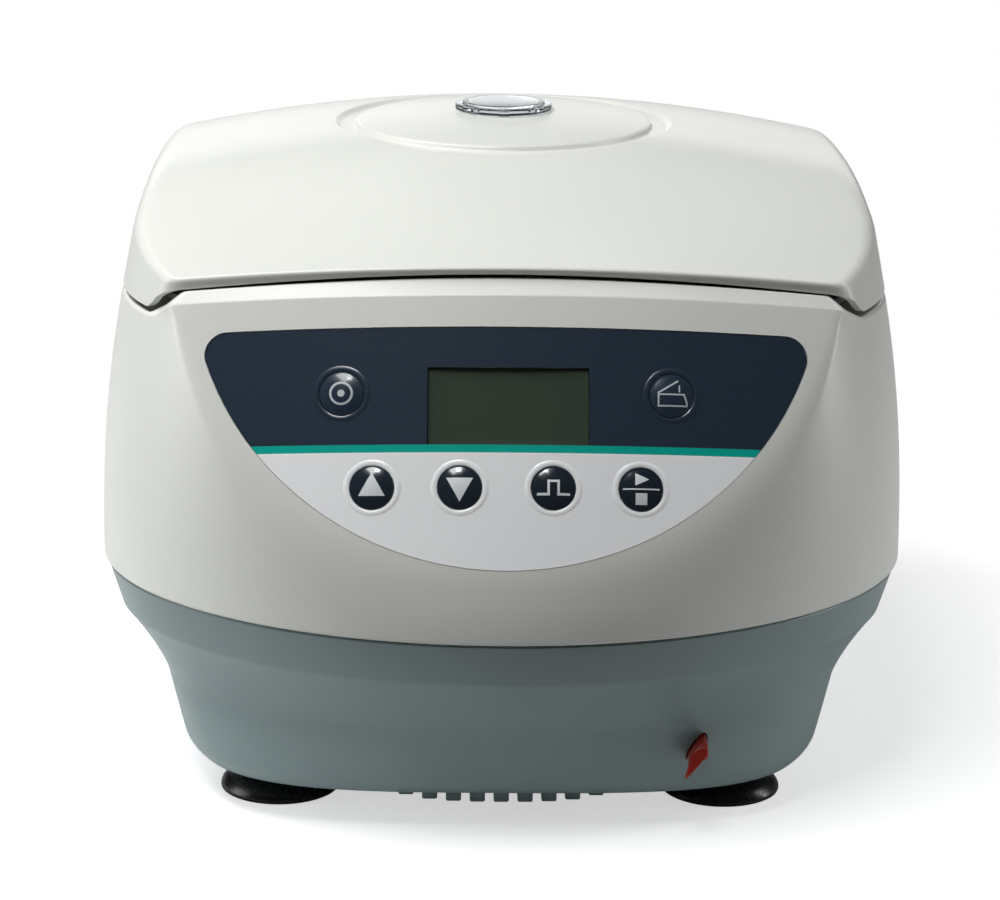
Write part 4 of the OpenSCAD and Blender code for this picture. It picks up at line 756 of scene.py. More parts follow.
def face_slab(name, grow, low_depth, high_depth, flat_top=None):
    """A slab in the keypad's outline that follows the face between two depths."""
    hub = np.array([0.0, FILM_HUB])
    reach = film_outline(grow)[::-1] - hub
    n = len(reach)
    steps = np.concatenate([np.linspace(0, 0.96, 26)[1:], [1.0]])
    layers = []
    for depth, level_z in ((low_depth, None), (high_depth, flat_top)):
        rows = [hub[None]]
        for t in steps:
            rows.append(hub + t * reach)
        flat = np.concatenate(rows)
        z = sunk(flat[:, 0], depth) if level_z is None else np.full(len(flat), level_z)
        layers.append(np.column_stack([flat, z]))
    points = np.concatenate(layers)
    count = len(layers[0])
    faces = []
    for i in range(n):
        j = (i + 1) % n
        for base, order in ((0, 1), (count, -1)):
            faces.append([base, base + 1 + i, base + 1 + j][::order])
            for k in range(len(steps) - 1):
                p, q = base + 1 + k * n, base + 1 + (k + 1) * n
                faces.append([p + i, q + i, q + j, p + j][::order])
        p, q = 1 + (len(steps) - 1) * n, count + 1 + (len(steps) - 1) * n
        faces.append([p + i, q + i, q + j, p + j])
    world_points = [FACE @ Vector(p) for p in points]
    return new_object(name, mesh_of(name, world_points, faces, smooth=False))


# %% [markdown]
# ## Openings of the upper shell
# The pocket for the keypad, the keys' holes and the window go through the face. The deck
# takes the lid's two studs and its switch pin, and the rear wall has one wide opening for
# the power plate and two notches for the hinges. Two screw bosses are added inside.

# %% Cut the openings of the upper shell
STUD_SPOTS = [(-98, -106), (98, -106)]
SWITCH_PIN = (-114.7, -86)
HINGE_X = 68
BOSS_SPOTS = [(-104, 128), (104, 128)]
REAR_OPENING = (-80, 80, 172.5, 192.5)
DECK_CUT = (175, 185)

cutters = [face_slab("pocket", 0.0, POCKET, 0.0, flat_top=4.0)]
for _, u, s in KEY_SPOTS.values():
    cutters.append(prism("key_hole", circle(KEY_R + KEY_GAP, 64), -7, 4, on_face(u, s)))
cutters.append(prism("window_hole", window_outline(0.1), -9, 4, FACE))
for x, y in STUD_SPOTS:
    cutters.append(prism("stud_hole", circle(6.5, 48, x, y), *DECK_CUT))
cutters.append(prism("switch_hole", circle(4.2, 32, *SWITCH_PIN), *DECK_CUT))
cutters.append(prism("rear_hole", oblong(*REAR_OPENING), 95, 155))
for x in (-HINGE_X, HINGE_X):
    cutters.append(prism("hinge_notch", oblong(x - 15.5, x + 15.5, 170.9, 175.1), 160, 180))
bosses = [prism("boss", circle(5, 32, x, y), SHELL_LOW + 2, DECK_Z - 2) for x, y in BOSS_SPOTS]
carve(upper, cutters, bosses)
even_normals(upper)
finished(upper, "housing", shell_white, ["upper_shell"])

# %% [markdown]
# ## Lid
# The lid is a shallow crown. At its front corners a crisp crease runs around the top and
# the band below it leans inwards, so it lies in shade. Towards the back the crease melts
# into a broad round. One skin with many stations keeps both ends of that change smooth.

# %% Lid plan, crown and disc
LID_T = 2.8
LID_PEAK_Z = 236.2
FRONT_BEND_Y, FRONT_FALL = -50, 0.39
REAR_BEND_Y, REAR_FALL = 58, 0.25
CROWN = 0.00085
MOAT_R = 63.5
DISC_R = 55.6
DISC_Z = 231.0
DOME_H = 4.4
SIGHT_HOLE_R = 15.4


def top_z(x, y):
    """The crown: level in the middle, falling to the front, the rear and the sides."""
    return (LID_PEAK_Z - FRONT_FALL * soft_ramp(FRONT_BEND_Y - y, 20)
            - REAR_FALL * soft_ramp(y - REAR_BEND_Y, 40) - CROWN * x * x)


def lid_plan(th, z):
    d = z - SIDE_PART_Z - 1.5
    r = plan_r(th, HALF_W - 8.8 - 0.2 * d, FRONT_BULGE - 3 - 0.2 * d, REAR_R - 4 - 0.1 * d, 2.0)
    return np.where(np.abs(th) < FACE_SIDE, soft_min(r, face_plan(th, z), 3.0), r)


def lid_r(th, z, zc):
    """The lid's side below the crease at zc: undercut in front, upright behind."""
    fold = 1 - ease((np.abs(th) - 62.5) / 4.0)
    return mix(lid_plan(th, z), lid_plan(th, zc) - 0.45 * (zc - z), fold)


def lid_edge_z(th):
    near = np.minimum(np.abs(th), 68.0)
    front = 199.6 - SHELF_FALL * (plan_y(near, lid_plan(near, 200 + 0 * th)) + 133.5)
    side = SIDE_PART_Z + 2 + 3.5 * rear_blend(plan_y(th, lid_plan(th, 185 + 0 * th)))
    return mix(front, side, ease((np.abs(th) - 66.8) / 3.0))


def bezier(a, b, c, u):
    return (1 - u) ** 2 * a + 2 * u * (1 - u) * b + u * u * c


def on_circle(p, r, z):
    reach = np.linalg.norm(p[:, :2], axis=1)
    return np.column_stack([p[:, 0] * r / reach, p[:, 1] * r / reach, z + 0 * reach])


def dome_z(r):
    return DISC_Z + DOME_H * (1 - (r / DISC_R) ** 2)


# %% [markdown]
# The lid's section starts at its lower edge, runs up the side, over the crease and across
# the crown to the groove and the disc, and comes back underneath, one thickness lower. The
# height of the crease depends on its radius and the other way round, so a few rounds of
# putting one into the other settle both.

# %% Lid rows
def lid_columns(th):
    zc = np.full_like(th, 208.0)
    for _ in range(7):
        r = lid_plan(th, zc)
        zc = top_z(r * sind(th), plan_y(th, r))
    z0 = lid_edge_z(th)
    arm = 2 + 6 * ease((np.abs(th) - 62) / 38.0) + 4 * ease((np.abs(th) - 110) / 30.0)
    zw = zc - np.minimum(arm, (zc - z0) / 2)
    rc, rw = lid_r(th, zc, zc), lid_r(th, zw, zc)
    rt = rc - arm
    zt = top_z(rt * sind(th), plan_y(th, rt))
    p = on_plan(th, rt, zt)
    reach = np.linalg.norm(p[:, :2], axis=1)

    def top_point(t, down):
        q = on_circle(p, MOAT_R + (reach - MOAT_R) * t, 0)
        q[:, 2] = top_z(q[:, 0], q[:, 1]) - down
        return q

    def low_ring(r, down=0.0):
        q = on_circle(p, r, 0)
        q[:, 2] = np.minimum(top_z(q[:, 0], q[:, 1]) - 0.15, DISC_Z - 2) - down
        return q

    stops = [(on_plan(th, lid_r(th, z0, zc), z0), 0.35)]
    stops += [(on_plan(th, lid_r(th, z, zc), z), 0) for z in (mix(z0, zw, i / 18) for i in range(1, 18))]
    stops += [(on_plan(th, bezier(rw, rc, rt, u), bezier(zw, zc, zt, u)), 0)
              for u in np.linspace(0, 1, 15)]
    stops += [(top_point(t, 0), 0) for t in np.linspace(0.97, 0.03, 34)]
    stops += [(top_point(0, 0), 0.5), (low_ring(MOAT_R - 1.8), 0.6), (low_ring(DISC_R + 0.7), 0.5),
              (on_circle(p, DISC_R, DISC_Z - 0.4), 0.35), (on_circle(p, DISC_R - 0.8, DISC_Z + 0.1), 0.4)]
    stops += [(on_circle(p, r, dome_z(r)), 0) for r in np.linspace(DISC_R - 2.4, SIGHT_HOLE_R + 0.4, 20)]
    stops += [(on_circle(p, SIGHT_HOLE_R, dome_z(SIGHT_HOLE_R)), 0.2),
              (on_circle(p, SIGHT_HOLE_R, dome_z(SIGHT_HOLE_R) - LID_T), 0),
              (on_circle(p, 28, dome_z(28) - LID_T), 0),
              (on_circle(p, 40, dome_z(40) - LID_T), 0),
              (on_circle(p, DISC_R - 2.5, DISC_Z - LID_T), 0.5),
              (on_circle(p, DISC_R - 1, DISC_Z - LID_T - 2), 0.5),
              (low_ring(MOAT_R + 1.2, LID_T), 0.5)]
    stops += [(top_point(t, LID_T), 0) for t in np.linspace(0.08, 0.94, 14)]
    grid = np.linspace(0, 1, 9)
    under = [bezier(zw, zc, zt, v) - LID_T * sind(90 * v) for v in grid]
    for i in range(8, -1, -1):
        u = grid[i]
        r = np.minimum(bezier(rw, rc, rt, u) - LID_T * cosd(90 * u), rw - LID_T)
        z = np.min(under[i:], axis=0) - 0.24 * (1 - u)
        stops.append((on_plan(th, r, z), 0))
    stops.append((on_plan(th, lid_r(th, z0, zc) - LID_T, z0), 0.2))
    return soften(stops)


lid = skin("lid_cover", lid_columns(ring))
even_normals(lid, 38.0)
finished(lid, "lid", shell_white, ["lid_shell"])

# %% [markdown]
# ## Base
# The grey base stands in under the white shell like a plinth. A belt runs around its top,
# and below a soft step it draws in towards the feet. The openings are the vent in the
# floor, the holes for the foot studs and the leaf shaped slot for the red tab.

# %% Base plan
BELT_Z = 65.5
STEP_Z = 42
BASE_LOW = 13.0
VENT_Y = -80.0
VENT_R = 46.5
FOOT_SPOTS = [(-81, -98), (81, -98), (-88, 122), (88, 122)]


def base_half(z):
    step = clamp01((z - STEP_Z) / (BELT_Z - STEP_Z)) ** 1.5
    return HALF_W - 27.7 + 0.31 * (z - 27) + 9.6 * step - 0.057 * np.maximum(22 - z, 0) ** 2


def base_r(th, z):
    drawn = base_half(SEAM_Z) - base_half(z)
    power = 2 + 1.4 * clamp01((BELT_Z - z) / 52.0) ** 1.3
    return plan_r(th, base_half(z), FRONT_BULGE - 1 - 1.14 * drawn, REAR_R - 1 - 0.6 * drawn, power)


# %% [markdown]
# The base's section starts at the vent in its floor, runs out and up to the seam, where a
# lip stands up inside the white shell, and goes back down the inner wall.

# %% Base shell
def base_columns(th):
    one = np.ones_like(th)
    rs = base_r(th, SEAM_Z)
    rl = rear_limit(th, rs - 3.9, REAR_INNER_Y - 0.4)
    rv = circle_plan(th, VENT_R, VENT_Y)
    heights = np.concatenate([np.linspace(BASE_LOW + 1.2, BELT_Z - 1.2, 44), [BELT_Z],
                              np.linspace(BELT_Z + 1.2, SEAM_Z - 0.6, 12)])
    stops = [(on_plan(th, rv, BASE_LOW * one), 0.2),
             (on_plan(th, base_r(th, BASE_LOW) - 1.5, BASE_LOW * one), 0.6)]
    stops += [(on_plan(th, base_r(th, z), z * one), 0) for z in heights]
    stops += [(on_plan(th, rs - 0.6, SEAM_Z * one), 0.2), (on_plan(th, rl, SEAM_Z * one), 0),
              (on_plan(th, rl, (SEAM_Z + 5) * one), 0.3), (on_plan(th, rl - 1.8, (SEAM_Z + 5) * one), 0.3),
              (on_plan(th, rl - 1.8, (SEAM_Z - 2) * one), 0)]
    stops += [(on_plan(th, base_r(th, z) - WALL, z * one), 0) for z in (66.5, 60, 54, 48, 43, 36, 30, 24, 20)]
    stops += [(on_plan(th, base_r(th, BASE_LOW + 3) - 4.5, (BASE_LOW + 3) * one), 0),
              (on_plan(th, rv, (BASE_LOW + 3) * one), 0)]
    return soften(stops)


base = skin("base_tub", base_columns(ring))

# %% [markdown]
# The leaf for the red tab is drawn as nine corners, and cutting each corner twice turns
# them into a soft outline. It goes through the front wall, and the four round holes for the
# studs of the feet go through the floor.

# %% Openings of the base
TAB_X = 68.4
TAB_LEAF = [(4.1, 31.4), (4.1, 36.4), (3.5, 38.5), (2.4, 38.8), (0.4, 37.4), (-1.8, 34.6),
            (-3.2, 31.9), (-3.8, 29.4), (-3.2, 28.6)]
STUD_R = 3.2
FRONT_ON = Matrix.Rotation(math.radians(90), 4, "X")


def smooth_loop(points, times):
    """Rounds a flat outline by cutting its corners again and again."""
    for _ in range(times):
        points = [tuple(np.array(a) * w + np.array(b) * (1 - w)) for a, b in
                  zip(points, points[1:] + points[:1]) for w in (0.8, 0.2)]
    return points


slot_outline = [(TAB_X + x, z) for x, z in smooth_loop(TAB_LEAF, 2)]
cutters = [prism("tab_slot", slot_outline, 134, 171, FRONT_ON)]
cutters += [prism("stud_hole", circle(STUD_R, 32, x, y), 10, 18) for x, y in FOOT_SPOTS]
bosses = [prism("boss", circle(5, 32, x, y), BASE_LOW + 2, SEAM_Z + 1) for x, y in BOSS_SPOTS]
carve(base, cutters, bosses)
even_normals(base, 28.0)
finished(base, "housing", base_grey, ["base_shell"])

# %% [markdown]
# ## Keypad film
# The keypad is one printed film in a shallow pocket: a navy field above, a teal line, and
# a white field below. Printing is colour, not shape, so it is painted by the material from
# a map that holds each point's place on the face, across and up.

# %% Film mesh and its map
def face_map(obj):
    """A map in centimetres across and up the control face."""
    back = (Matrix.Scale(MM, 4) @ FACE).inverted()
    layer = obj.data.uv_layers.new(name="face_cm")
    place = np.array([back @ v.co for v in obj.data.vertices])
    loops = np.empty(len(obj.data.loops), dtype=np.int64)
    obj.data.loops.foreach_get("vertex_index", loops)
    layer.data.foreach_set("uv", (place[loops][:, :2] / 10.0).astype(np.float32).ravel())


FILM_LOW = POCKET - 0.05
film = face_slab("keypad", -0.25, FILM_LOW, FILM_LOW - FACE_FILM_T)
cutters = [prism("key_hole", circle(KEY_R + KEY_GAP / 2, 96), -6, 4, on_face(u, s))
           for _, u, s in KEY_SPOTS.values()]
cutters.append(prism("window_hole", window_outline(0), -8, 4, FACE))
carve(film, cutters)
even_normals(film)

# %% [markdown]
# The zones come from the height on the face: above one line the film is navy, between two
# it is teal, and below it is white, with a thin brighter line under the teal. A short ramp
# instead of a hard step keeps each edge clean at any size of picture.

# %% Film finish
TEAL_LOW, TEAL_HIGH = 5.06, 5.33
BRIGHT_LINE = 0.05
EDGE_BLUR = 0.015

film_mat = finish("film_print", rgb(248, 250, 251), rgb(245, 247, 249), (0.2, 0.28), coat=0.35,
                  grain=2600.0, bump=0.03)
tree = film_mat.node_tree
shader = tree.nodes["Principled BSDF"]
white_field = shader.inputs["Base Color"].links[0].from_socket
where = tree.nodes.new("ShaderNodeUVMap")
where.uv_map = "face_cm"
apart = tree.nodes.new("ShaderNodeSeparateXYZ")
tree.links.new(where.outputs[0], apart.inputs[0])
height = apart.outputs["Y"]


def over(line, blur=EDGE_BLUR):
    return remap(tree, height, line, line + blur)


speck = add_noise(tree, where.outputs[0], 9.0, 5.0)
mottle = spread(tree, speck, 0.0, 1.0)
navy = blend_colour(tree, rgb(36, 50, 64), rgb(40, 54, 69), mottle)
teal = blend_colour(tree, rgb(0, 168, 152), rgb(0, 174, 158), mottle)
lower = blend_colour(tree, white_field, rgb(254, 254, 254), over(TEAL_LOW - BRIGHT_LINE, 0.01))
middle = blend_colour(tree, lower, teal, over(TEAL_LOW))
whole = blend_colour(tree, middle, navy, over(TEAL_HIGH))
tree.links.new(whole, shader.inputs["Base Color"])
face_map(film)
finished(film, "housing", film_mat, ["keypad_film"])

# %% [markdown]
# ## Domed rings around the keys
# Each key shows through a raised ring in the film. The ring is a small lathe form set
# square to the face, with the film's own finish, so it takes the colour of its field.

# %% A lathe for round parts
def lathe(profile, place=None, sides=96):
    """Points and faces of a closed profile (radius, height) turned about its axis."""
    place = place or Matrix.Identity(4)
    m = len(profile)
    corners = [(r, z, (k + 1) % m) for k, (r, z) in enumerate(profile)]
    points, faces = [], []
    for i in range(sides):
        a = 2 * math.pi * i / sides
        for r, z, _ in corners:
            points.append(place @ Vector((r * math.cos(a), r * math.sin(a), z)))
    for i in range(sides):
        j = (i + 1) % sides
        for k, (_, _, after) in enumerate(corners):
            faces.append((i * m + k, j * m + k, j * m + after, i * m + after))
    return [tuple(p) for p in points], faces


def lathe_object(name, parts, sides=96):
    """One object from several turned profiles. Where a radius is 0, its points merge."""
    points, faces = [], []
    for profile, place in parts:
        more, rings = lathe(profile, place, sides)
        faces += [tuple(i + len(points) for i in f) for f in rings]
        points += more
    obj = new_object(name, mesh_of(name, points, faces))
    work = bmesh.new()
    work.from_mesh(obj.data)
    bmesh.ops.remove_doubles(work, verts=work.verts, dist=1e-7)
    bmesh.ops.dissolve_degenerate(work, edges=work.edges, dist=1e-8)
    work.to_mesh(obj.data)
    work.free()
    return obj


# %% Key rims
ring_profile = [(7.8, -0.8), (7.8, -0.24), (8.0, -0.18), (8.2, -0.12), (8.7, -0.09),
                (9.2, -0.14), (9.6, -0.22), (9.8, -0.28), (9.8, -0.8)]
rims = lathe_object("key_rims", [(ring_profile, on_face(u, s)) for _, u, s in KEY_SPOTS.values()])
face_map(rims)
even_normals(rims, 50.0)
finished(rims, "housing", film_mat)

# %% [markdown]
# ## Keys and their symbols
# A key is a dark disc with a low clear dome. The marks on it are plain symbols of this
# script's own, cut from flat outlines and laid on the dome as a thin layer of ink.

# %% Symbol outlines, in millimetres from the key's middle
def stroke(points, width, closed=False):
    """Quads along a line, each a little longer than its piece so that corners fill."""
    pairs = list(zip(points, points[1:])) + ([(points[-1], points[0])] if closed else [])
    quads = []
    for (x0, y0), (x1, y1) in pairs:
        length = math.hypot(x1 - x0, y1 - y0)
        dx, dy = (x1 - x0) / length * width / 2, (y1 - y0) / length * width / 2
        quads.append([(x0 - dx - dy, y0 - dy + dx), (x0 - dx + dy, y0 - dy - dx),
                      (x1 + dx + dy, y1 + dy - dx), (x1 + dx - dy, y1 + dy + dx)])
    return quads


SYMBOLS = {
    "up_key": [[(-4.6, -2.9), (4.6, -2.9), (0, 5.2)]],
    "down_key": [[(4.6, 3.3), (-4.6, 3.3), (0, -4.9)]],
    "short_key": stroke([(-5.2, -2.2), (-1.7, -2.2), (-1.7, 2.4), (1.7, 2.4), (1.7, -2.2),
                         (5.2, -2.2)], 0.85),
    "start_key": [[(-2.1, 1.2), (2.7, 3.4), (-2.1, 5.6)], oblong(-6.3, 6.3, -0.25, 0.25),
                  oblong(-2.0, 2.0, -5.4, -1.4)],
    "set_key": stroke(arc(3.7, 0, 345), 0.75, closed=True) + [arc(1.25, 0, 345)],
    "open_key": (stroke([(-4.6, -3.6), (-4.6, 0.4), (4.2, 0.4), (5.2, -2.4), (5.2, -3.6)], 0.55, closed=True)
                 + stroke([(-4.6, 1.0), (2.0, 5.0)], 0.6) + stroke([(2.6, 1.4), (2.6, 3.4)], 0.5))}

# %% [markdown]
# A symbol has to lie on the dome without a gap, so its flat faces are divided until no edge
# is longer than 0.9 mm, and each point is then lifted to the dome's height at its place.

# %% Symbols laid on the dome
DOME = 1.0
INK = 0.035
dome_radius = (KEY_R ** 2 + DOME ** 2) / (2 * DOME)


def dome_height(x, y):
    """Height of the key's top over the face, 0.1 mm under it at the rim."""
    return -0.1 + DOME - dome_radius + math.sqrt(dome_radius ** 2 - x * x - y * y)


def symbol_mesh(name, shapes, place):
    work = bmesh.new()
    for shape in shapes:
        verts = [work.verts.new((x, y, 0)) for x, y in shape]
        work.faces.new(verts)
    bmesh.ops.triangulate(work, faces=work.faces)
    for _ in range(4):
        long_edges = [e for e in work.edges if e.calc_length() > 0.9]
        bmesh.ops.subdivide_edges(work, edges=long_edges, cuts=1)
        bmesh.ops.triangulate(work, faces=work.faces)
    for face in work.faces:
        if face.normal.z < 0:
            face.normal_flip()
    top = bmesh.ops.extrude_face_region(work, geom=work.faces[:])
    raised = {v for v in top["geom"] if isinstance(v, bmesh.types.BMVert)}
    for v in work.verts:
        z = dome_height(v.co.x, v.co.y) + (INK if v in raised else -0.05)
        v.co = place @ Vector((v.co.x, v.co.y, z)) * MM
    mesh = bpy.data.meshes.new(name)
    bmesh.ops.recalc_face_normals(work, faces=work.faces)
    work.to_mesh(mesh)
    work.free()
    return mesh


# %% [markdown]
# Under each cap a stem runs down towards the switch on the board behind the face. The face
# is curved and the board is flat, so the stems of the outer keys are shorter. The keys on
# the navy field take the film's own navy with greyer marks, and those on the white field
# are darker with white marks.

# %% Keys
KEY_DEEP = 2.2
STEM_R = 2
BOARD_DEEP = 10
SWITCH_H = 2.6
KEY_TRAVEL = 0.5
STEM_GAP = 0.4

dome_line = [(r, dome_height(r, 0)) for r in np.linspace(0, KEY_R - 0.35, 14)]
key_profile = dome_line + [(KEY_R - 0.12, -0.02), (KEY_R, -0.2), (KEY_R, -KEY_DEEP), (0, -KEY_DEEP)]
for body, (node, u, s) in KEY_SPOTS.items():
    place = on_face(u, s)
    cap_finish, ink_finish = (key_navy, symbol_white) if s == LOWER_S else (film_navy, symbol_pale)
    sag = FACE_R - math.sqrt(FACE_R ** 2 - u * u)
    stem = BOARD_DEEP - sag * 0.99 - SWITCH_H - KEY_TRAVEL - STEM_GAP
    stem_top = KEY_DEEP - 0.1
    stem_profile = [(0, -stem_top), (STEM_R, -stem_top), (STEM_R, -stem), (0, -stem)]
    cap = lathe_object(body + "_cap", [(key_profile, place), (stem_profile, place)])
    even_normals(cap, 40.0)
    finished(cap, body, cap_finish, [node])
    ink = new_object(body + "_symbol", symbol_mesh(body + "_symbol", SYMBOLS[body], place))
    finished(ink, body, ink_finish)

# %% [markdown]
# ## Display
# Behind the cut-out of the film sits a dark olive display under a clear pane. The pane is
# a bevelled slab, and its finish carries a fine grid like the cells of a real display.

# %% A bevel for sharp edges
def bevelled(obj, width, angle=30.0, segments=2):
    step = obj.modifiers.new("bevel", "BEVEL")
    step.width = width * MM
    step.segments = segments
    step.limit_method = "ANGLE"
    step.angle_limit = math.radians(angle)
    step.use_clamp_overlap = True
    step.miter_outer = "MITER_ARC"
    return even_normals(settle(obj), 40.0)


# %% Display pane
CELLS = {"Scale": 12.0, "Mortar Size": 0.03, "Brick Width": 0.5, "Row Height": 0.5}
CELL_CONTRAST = 0.14

lcd_mat = finish("display_olive", rgb(58, 71, 58), rgb(53, 66, 54), (0.16, 0.24), coat=0.6, bump=0.02)
tree = lcd_mat.node_tree
shader = tree.nodes["Principled BSDF"]
olive = shader.inputs["Base Color"].links[0].from_socket
where = tree.nodes.new("ShaderNodeUVMap")
where.uv_map = "face_cm"
cells = tree.nodes.new("ShaderNodeTexBrick")
cells.offset = 0.0
for label, value in CELLS.items():
    cells.inputs[label].default_value = value
tree.links.new(where.outputs[0], cells.inputs["Vector"])
faint = remap(tree, cells.outputs["Fac"], 0.0, 1.0, 0.0, CELL_CONTRAST)
tree.links.new(blend_colour(tree, olive, rgb(72, 84, 70), faint), shader.inputs["Base Color"])
pane = prism("display_pane", window_outline(-0.2), -4.4, -2.2, FACE)
bevelled(pane, 0.3)
face_map(pane)
finished(pane, "housing", lcd_mat, ["lcd_window"])

# %% [markdown]
# ## Sight glass
# A clear acrylic window sits in the middle of the lid, so that the rotor can be watched.
# It is turned on the lathe: a flange, a raised middle and a skirt through the lid. Notches
# in the flange and one square lug in front take the key that screws it down.

# %% Clear acrylic
glass_mat = bpy.data.materials.new("clear_acrylic")
glass_mat.use_nodes = True
tree = glass_mat.node_tree
shader = tree.nodes["Principled BSDF"]
shader.inputs["Transmission Weight"].default_value = 1.0
shader.inputs["IOR"].default_value = 1.49  # acrylic
place = tree.nodes.new("ShaderNodeTexCoord").outputs["Object"]
haze = add_noise(tree, place, 420.0, 4.0)
tint = blend_colour(tree, rgb(214, 219, 222), rgb(200, 206, 210), spread(tree, haze, 0.0, 1.0))
tree.links.new(tint, shader.inputs["Base Color"])
tree.links.new(spread(tree, haze, 0.03, 0.12), shader.inputs["Roughness"])

# %% [markdown]
# Heights in the glass's profile count from the disc it rests on. Its notches and its lug
# stand at the angles where the photograph shows them.

# %% Sight glass
GLASS_Z = float(dome_z(SIGHT_HOLE_R)) + 0.02
GLASS_R = 18.3
NOTCH_ANGLES = (-38, 38, 142, 218)

glass_heights = [
    (0, 3.4), (14.6, 3.4), (15.3, 3.2), (15.5, 2.6), (15.7, 2.3), (17.7, 2.3), (18.2, 2.05),
    (GLASS_R, 1.7), (GLASS_R, 0.4), (18.0, 0), (15.3, 0), (15.3, -5.8), (13.3, -5.8),
    (13.3, 0.6), (12.6, 1.1), (0, 1.1)]
glass_profile = [(r, GLASS_Z + h) for r, h in glass_heights]
glass = lathe_object("sight_window", [(glass_profile, None)], sides=128)
notches = []
for angle in NOTCH_ANGLES:
    spin = Matrix.Rotation(math.radians(angle - 90), 4, "Z")
    notches.append(prism("notch", oblong(16.4, 19.5, -1.7, 1.7), GLASS_Z + 1.0, GLASS_Z + 4.0, spin))
lug = prism("lug", oblong(-1.9, 1.9, -18.9, -15.0), GLASS_Z + 0.05, GLASS_Z + 2.5)
carve(glass, notches, [lug])
even_normals(glass, 35.0)
finished(glass, "lid", glass_mat, ["sight_glass"])

# %% [markdown]
# ## What repeats: Geometry Nodes
# Feet and vent ribs repeat one shape at known spots. A small node tree puts copies of a
# shape on points and makes them real. A modifier runs the tree, and the result is read
# back as a plain mesh, so that the modifier can go.

# %% Parts of every tree
def socket_in(tree, label, kind, value=None):
    """Adds an input to the tree and returns its identifier, which the modifier asks for."""
    socket = tree.interface.new_socket(label, in_out="INPUT", socket_type=kind)
    if value is not None:
        socket.default_value = value
    return socket.identifier


def start_tree(name):
    tree = bpy.data.node_groups.new(name, "GeometryNodeTree")
    tree.interface.new_socket("Geometry", in_out="INPUT", socket_type="NodeSocketGeometry")
    tree.interface.new_socket("Geometry", in_out="OUTPUT", socket_type="NodeSocketGeometry")
    return tree, tree.nodes.new("NodeGroupInput"), tree.nodes.new("NodeGroupOutput")


def end_tree(tree, result, inputs, output):
    """Realize Instances and Set Material close every tree."""
    real = tree.nodes.new("GeometryNodeRealizeInstances")
    paint = tree.nodes.new("GeometryNodeSetMaterial")
    tree.links.new(result, real.inputs[0])
    tree.links.new(real.outputs[0], paint.inputs["Geometry"])
    tree.links.new(inputs.outputs["Finish"], paint.inputs["Material"])
    tree.links.new(paint.outputs[0], output.inputs[0])


def grow(name, tree, values, spots=((0, 0, 0),)):
    """Runs a tree on a mesh of points and returns the plain result."""
    mesh = bpy.data.meshes.new(name)
    mesh.from_pydata([tuple(c * MM for c in p) for p in spots], [], [])
    obj = new_object(name, mesh)
    step = obj.modifiers.new("tree", "NODES")
    step.node_group = tree
    for identifier, value in values:
        step[identifier] = value
    obj.update_tag()
    return settle(obj)


# %% [markdown]
# ## Suction feet
# The four feet are rubber cups with a thin lip that spreads on the bench, a neck and a
# collar against the base. One foot is turned on the lathe, and the tree sets four copies.

# %% A tree that sets copies on points
copies, inputs, output = start_tree("copies_on_points")
shape_id = socket_in(copies, "Shape", "NodeSocketObject")
finish_id = socket_in(copies, "Finish", "NodeSocketMaterial")
shape_in = copies.nodes.new("GeometryNodeObjectInfo")
copies.links.new(inputs.outputs["Shape"], shape_in.inputs["Object"])
put = copies.nodes.new("GeometryNodeInstanceOnPoints")
copies.links.new(inputs.outputs["Geometry"], put.inputs["Points"])
copies.links.new(shape_in.outputs["Geometry"], put.inputs["Instance"])
end_tree(copies, put.outputs[0], inputs, output)

# %% Suction feet
foot_profile = [(0, 8.0), (6, 8.0), (11, 5.6), (16.5, 1.6), (18.3, 0.12), (18.6, 0.0), (21.2, 0.0),
                (21.62, 0.25), (21.8, 0.8), (21.72, 1.6), (21.3, 2.6), (20.2, 4.1), (18.4, 5.6), (15.6, 7.0),
                (12.6, 8.1), (10.9, 8.8), (10.0, 9.5), (9.7, 10.3), (10.1, 11.1), (11.1, 11.6), (11.5, 12.0),
                (11.5, 12.98), (0, 12.98)]
one_foot = lathe_object("foot", [(foot_profile, None)])
feet = grow("rubber_feet", copies, [(shape_id, one_foot), (finish_id, rubber)],
            [(x, y, 0) for x, y in FOOT_SPOTS])
bpy.data.objects.remove(one_foot)
even_normals(feet, 50.0)
finished(feet, "housing", None, ["suction_feet"])


# %% [markdown]
# ## Vent ribs
# The vent under the base is a grille of straight ribs. A tree makes a line of points, puts
# a block on each, and stretches it to the outline that it has to stay in. The ribs hang
# below the base, and their ends show under its front edge.

# %% The tree of the vent ribs
RIB_SIZES = {"Count": 11, "Pitch": 0.0086, "Width": 0.0055, "Height": 0.0075, "Radius": 0.050,
             "Fullness": 3.2}

ribs, inputs, output = start_tree("vent_ribs")
# The count is a whole number and the other sizes are lengths in metres or plain numbers.
for label, value in RIB_SIZES.items():
    socket_in(ribs, label, "NodeSocketInt" if label == "Count" else "NodeSocketFloat", value)
rib_finish_id = socket_in(ribs, "Finish", "NodeSocketMaterial")


def sum_of(operation, first, second=None):
    return tree_math(ribs, operation, first, second)


def vector_of(**parts):
    """A vector from the parts X, Y and Z that are given."""
    node = ribs.nodes.new("ShaderNodeCombineXYZ")
    for axis, value in parts.items():
        feed(ribs, node.inputs[axis], value)
    return node.outputs[0]


count, pitch, width, high, radius, fullness = (inputs.outputs[label] for label in RIB_SIZES)
line = ribs.nodes.new("GeometryNodeMeshLine")
first_x = sum_of("MULTIPLY", sum_of("MULTIPLY", sum_of("SUBTRACT", count, 1), -0.5), pitch)
feed(ribs, line.inputs["Count"], count)
feed(ribs, line.inputs["Start Location"], vector_of(X=first_x))
feed(ribs, line.inputs["Offset"], vector_of(X=pitch))

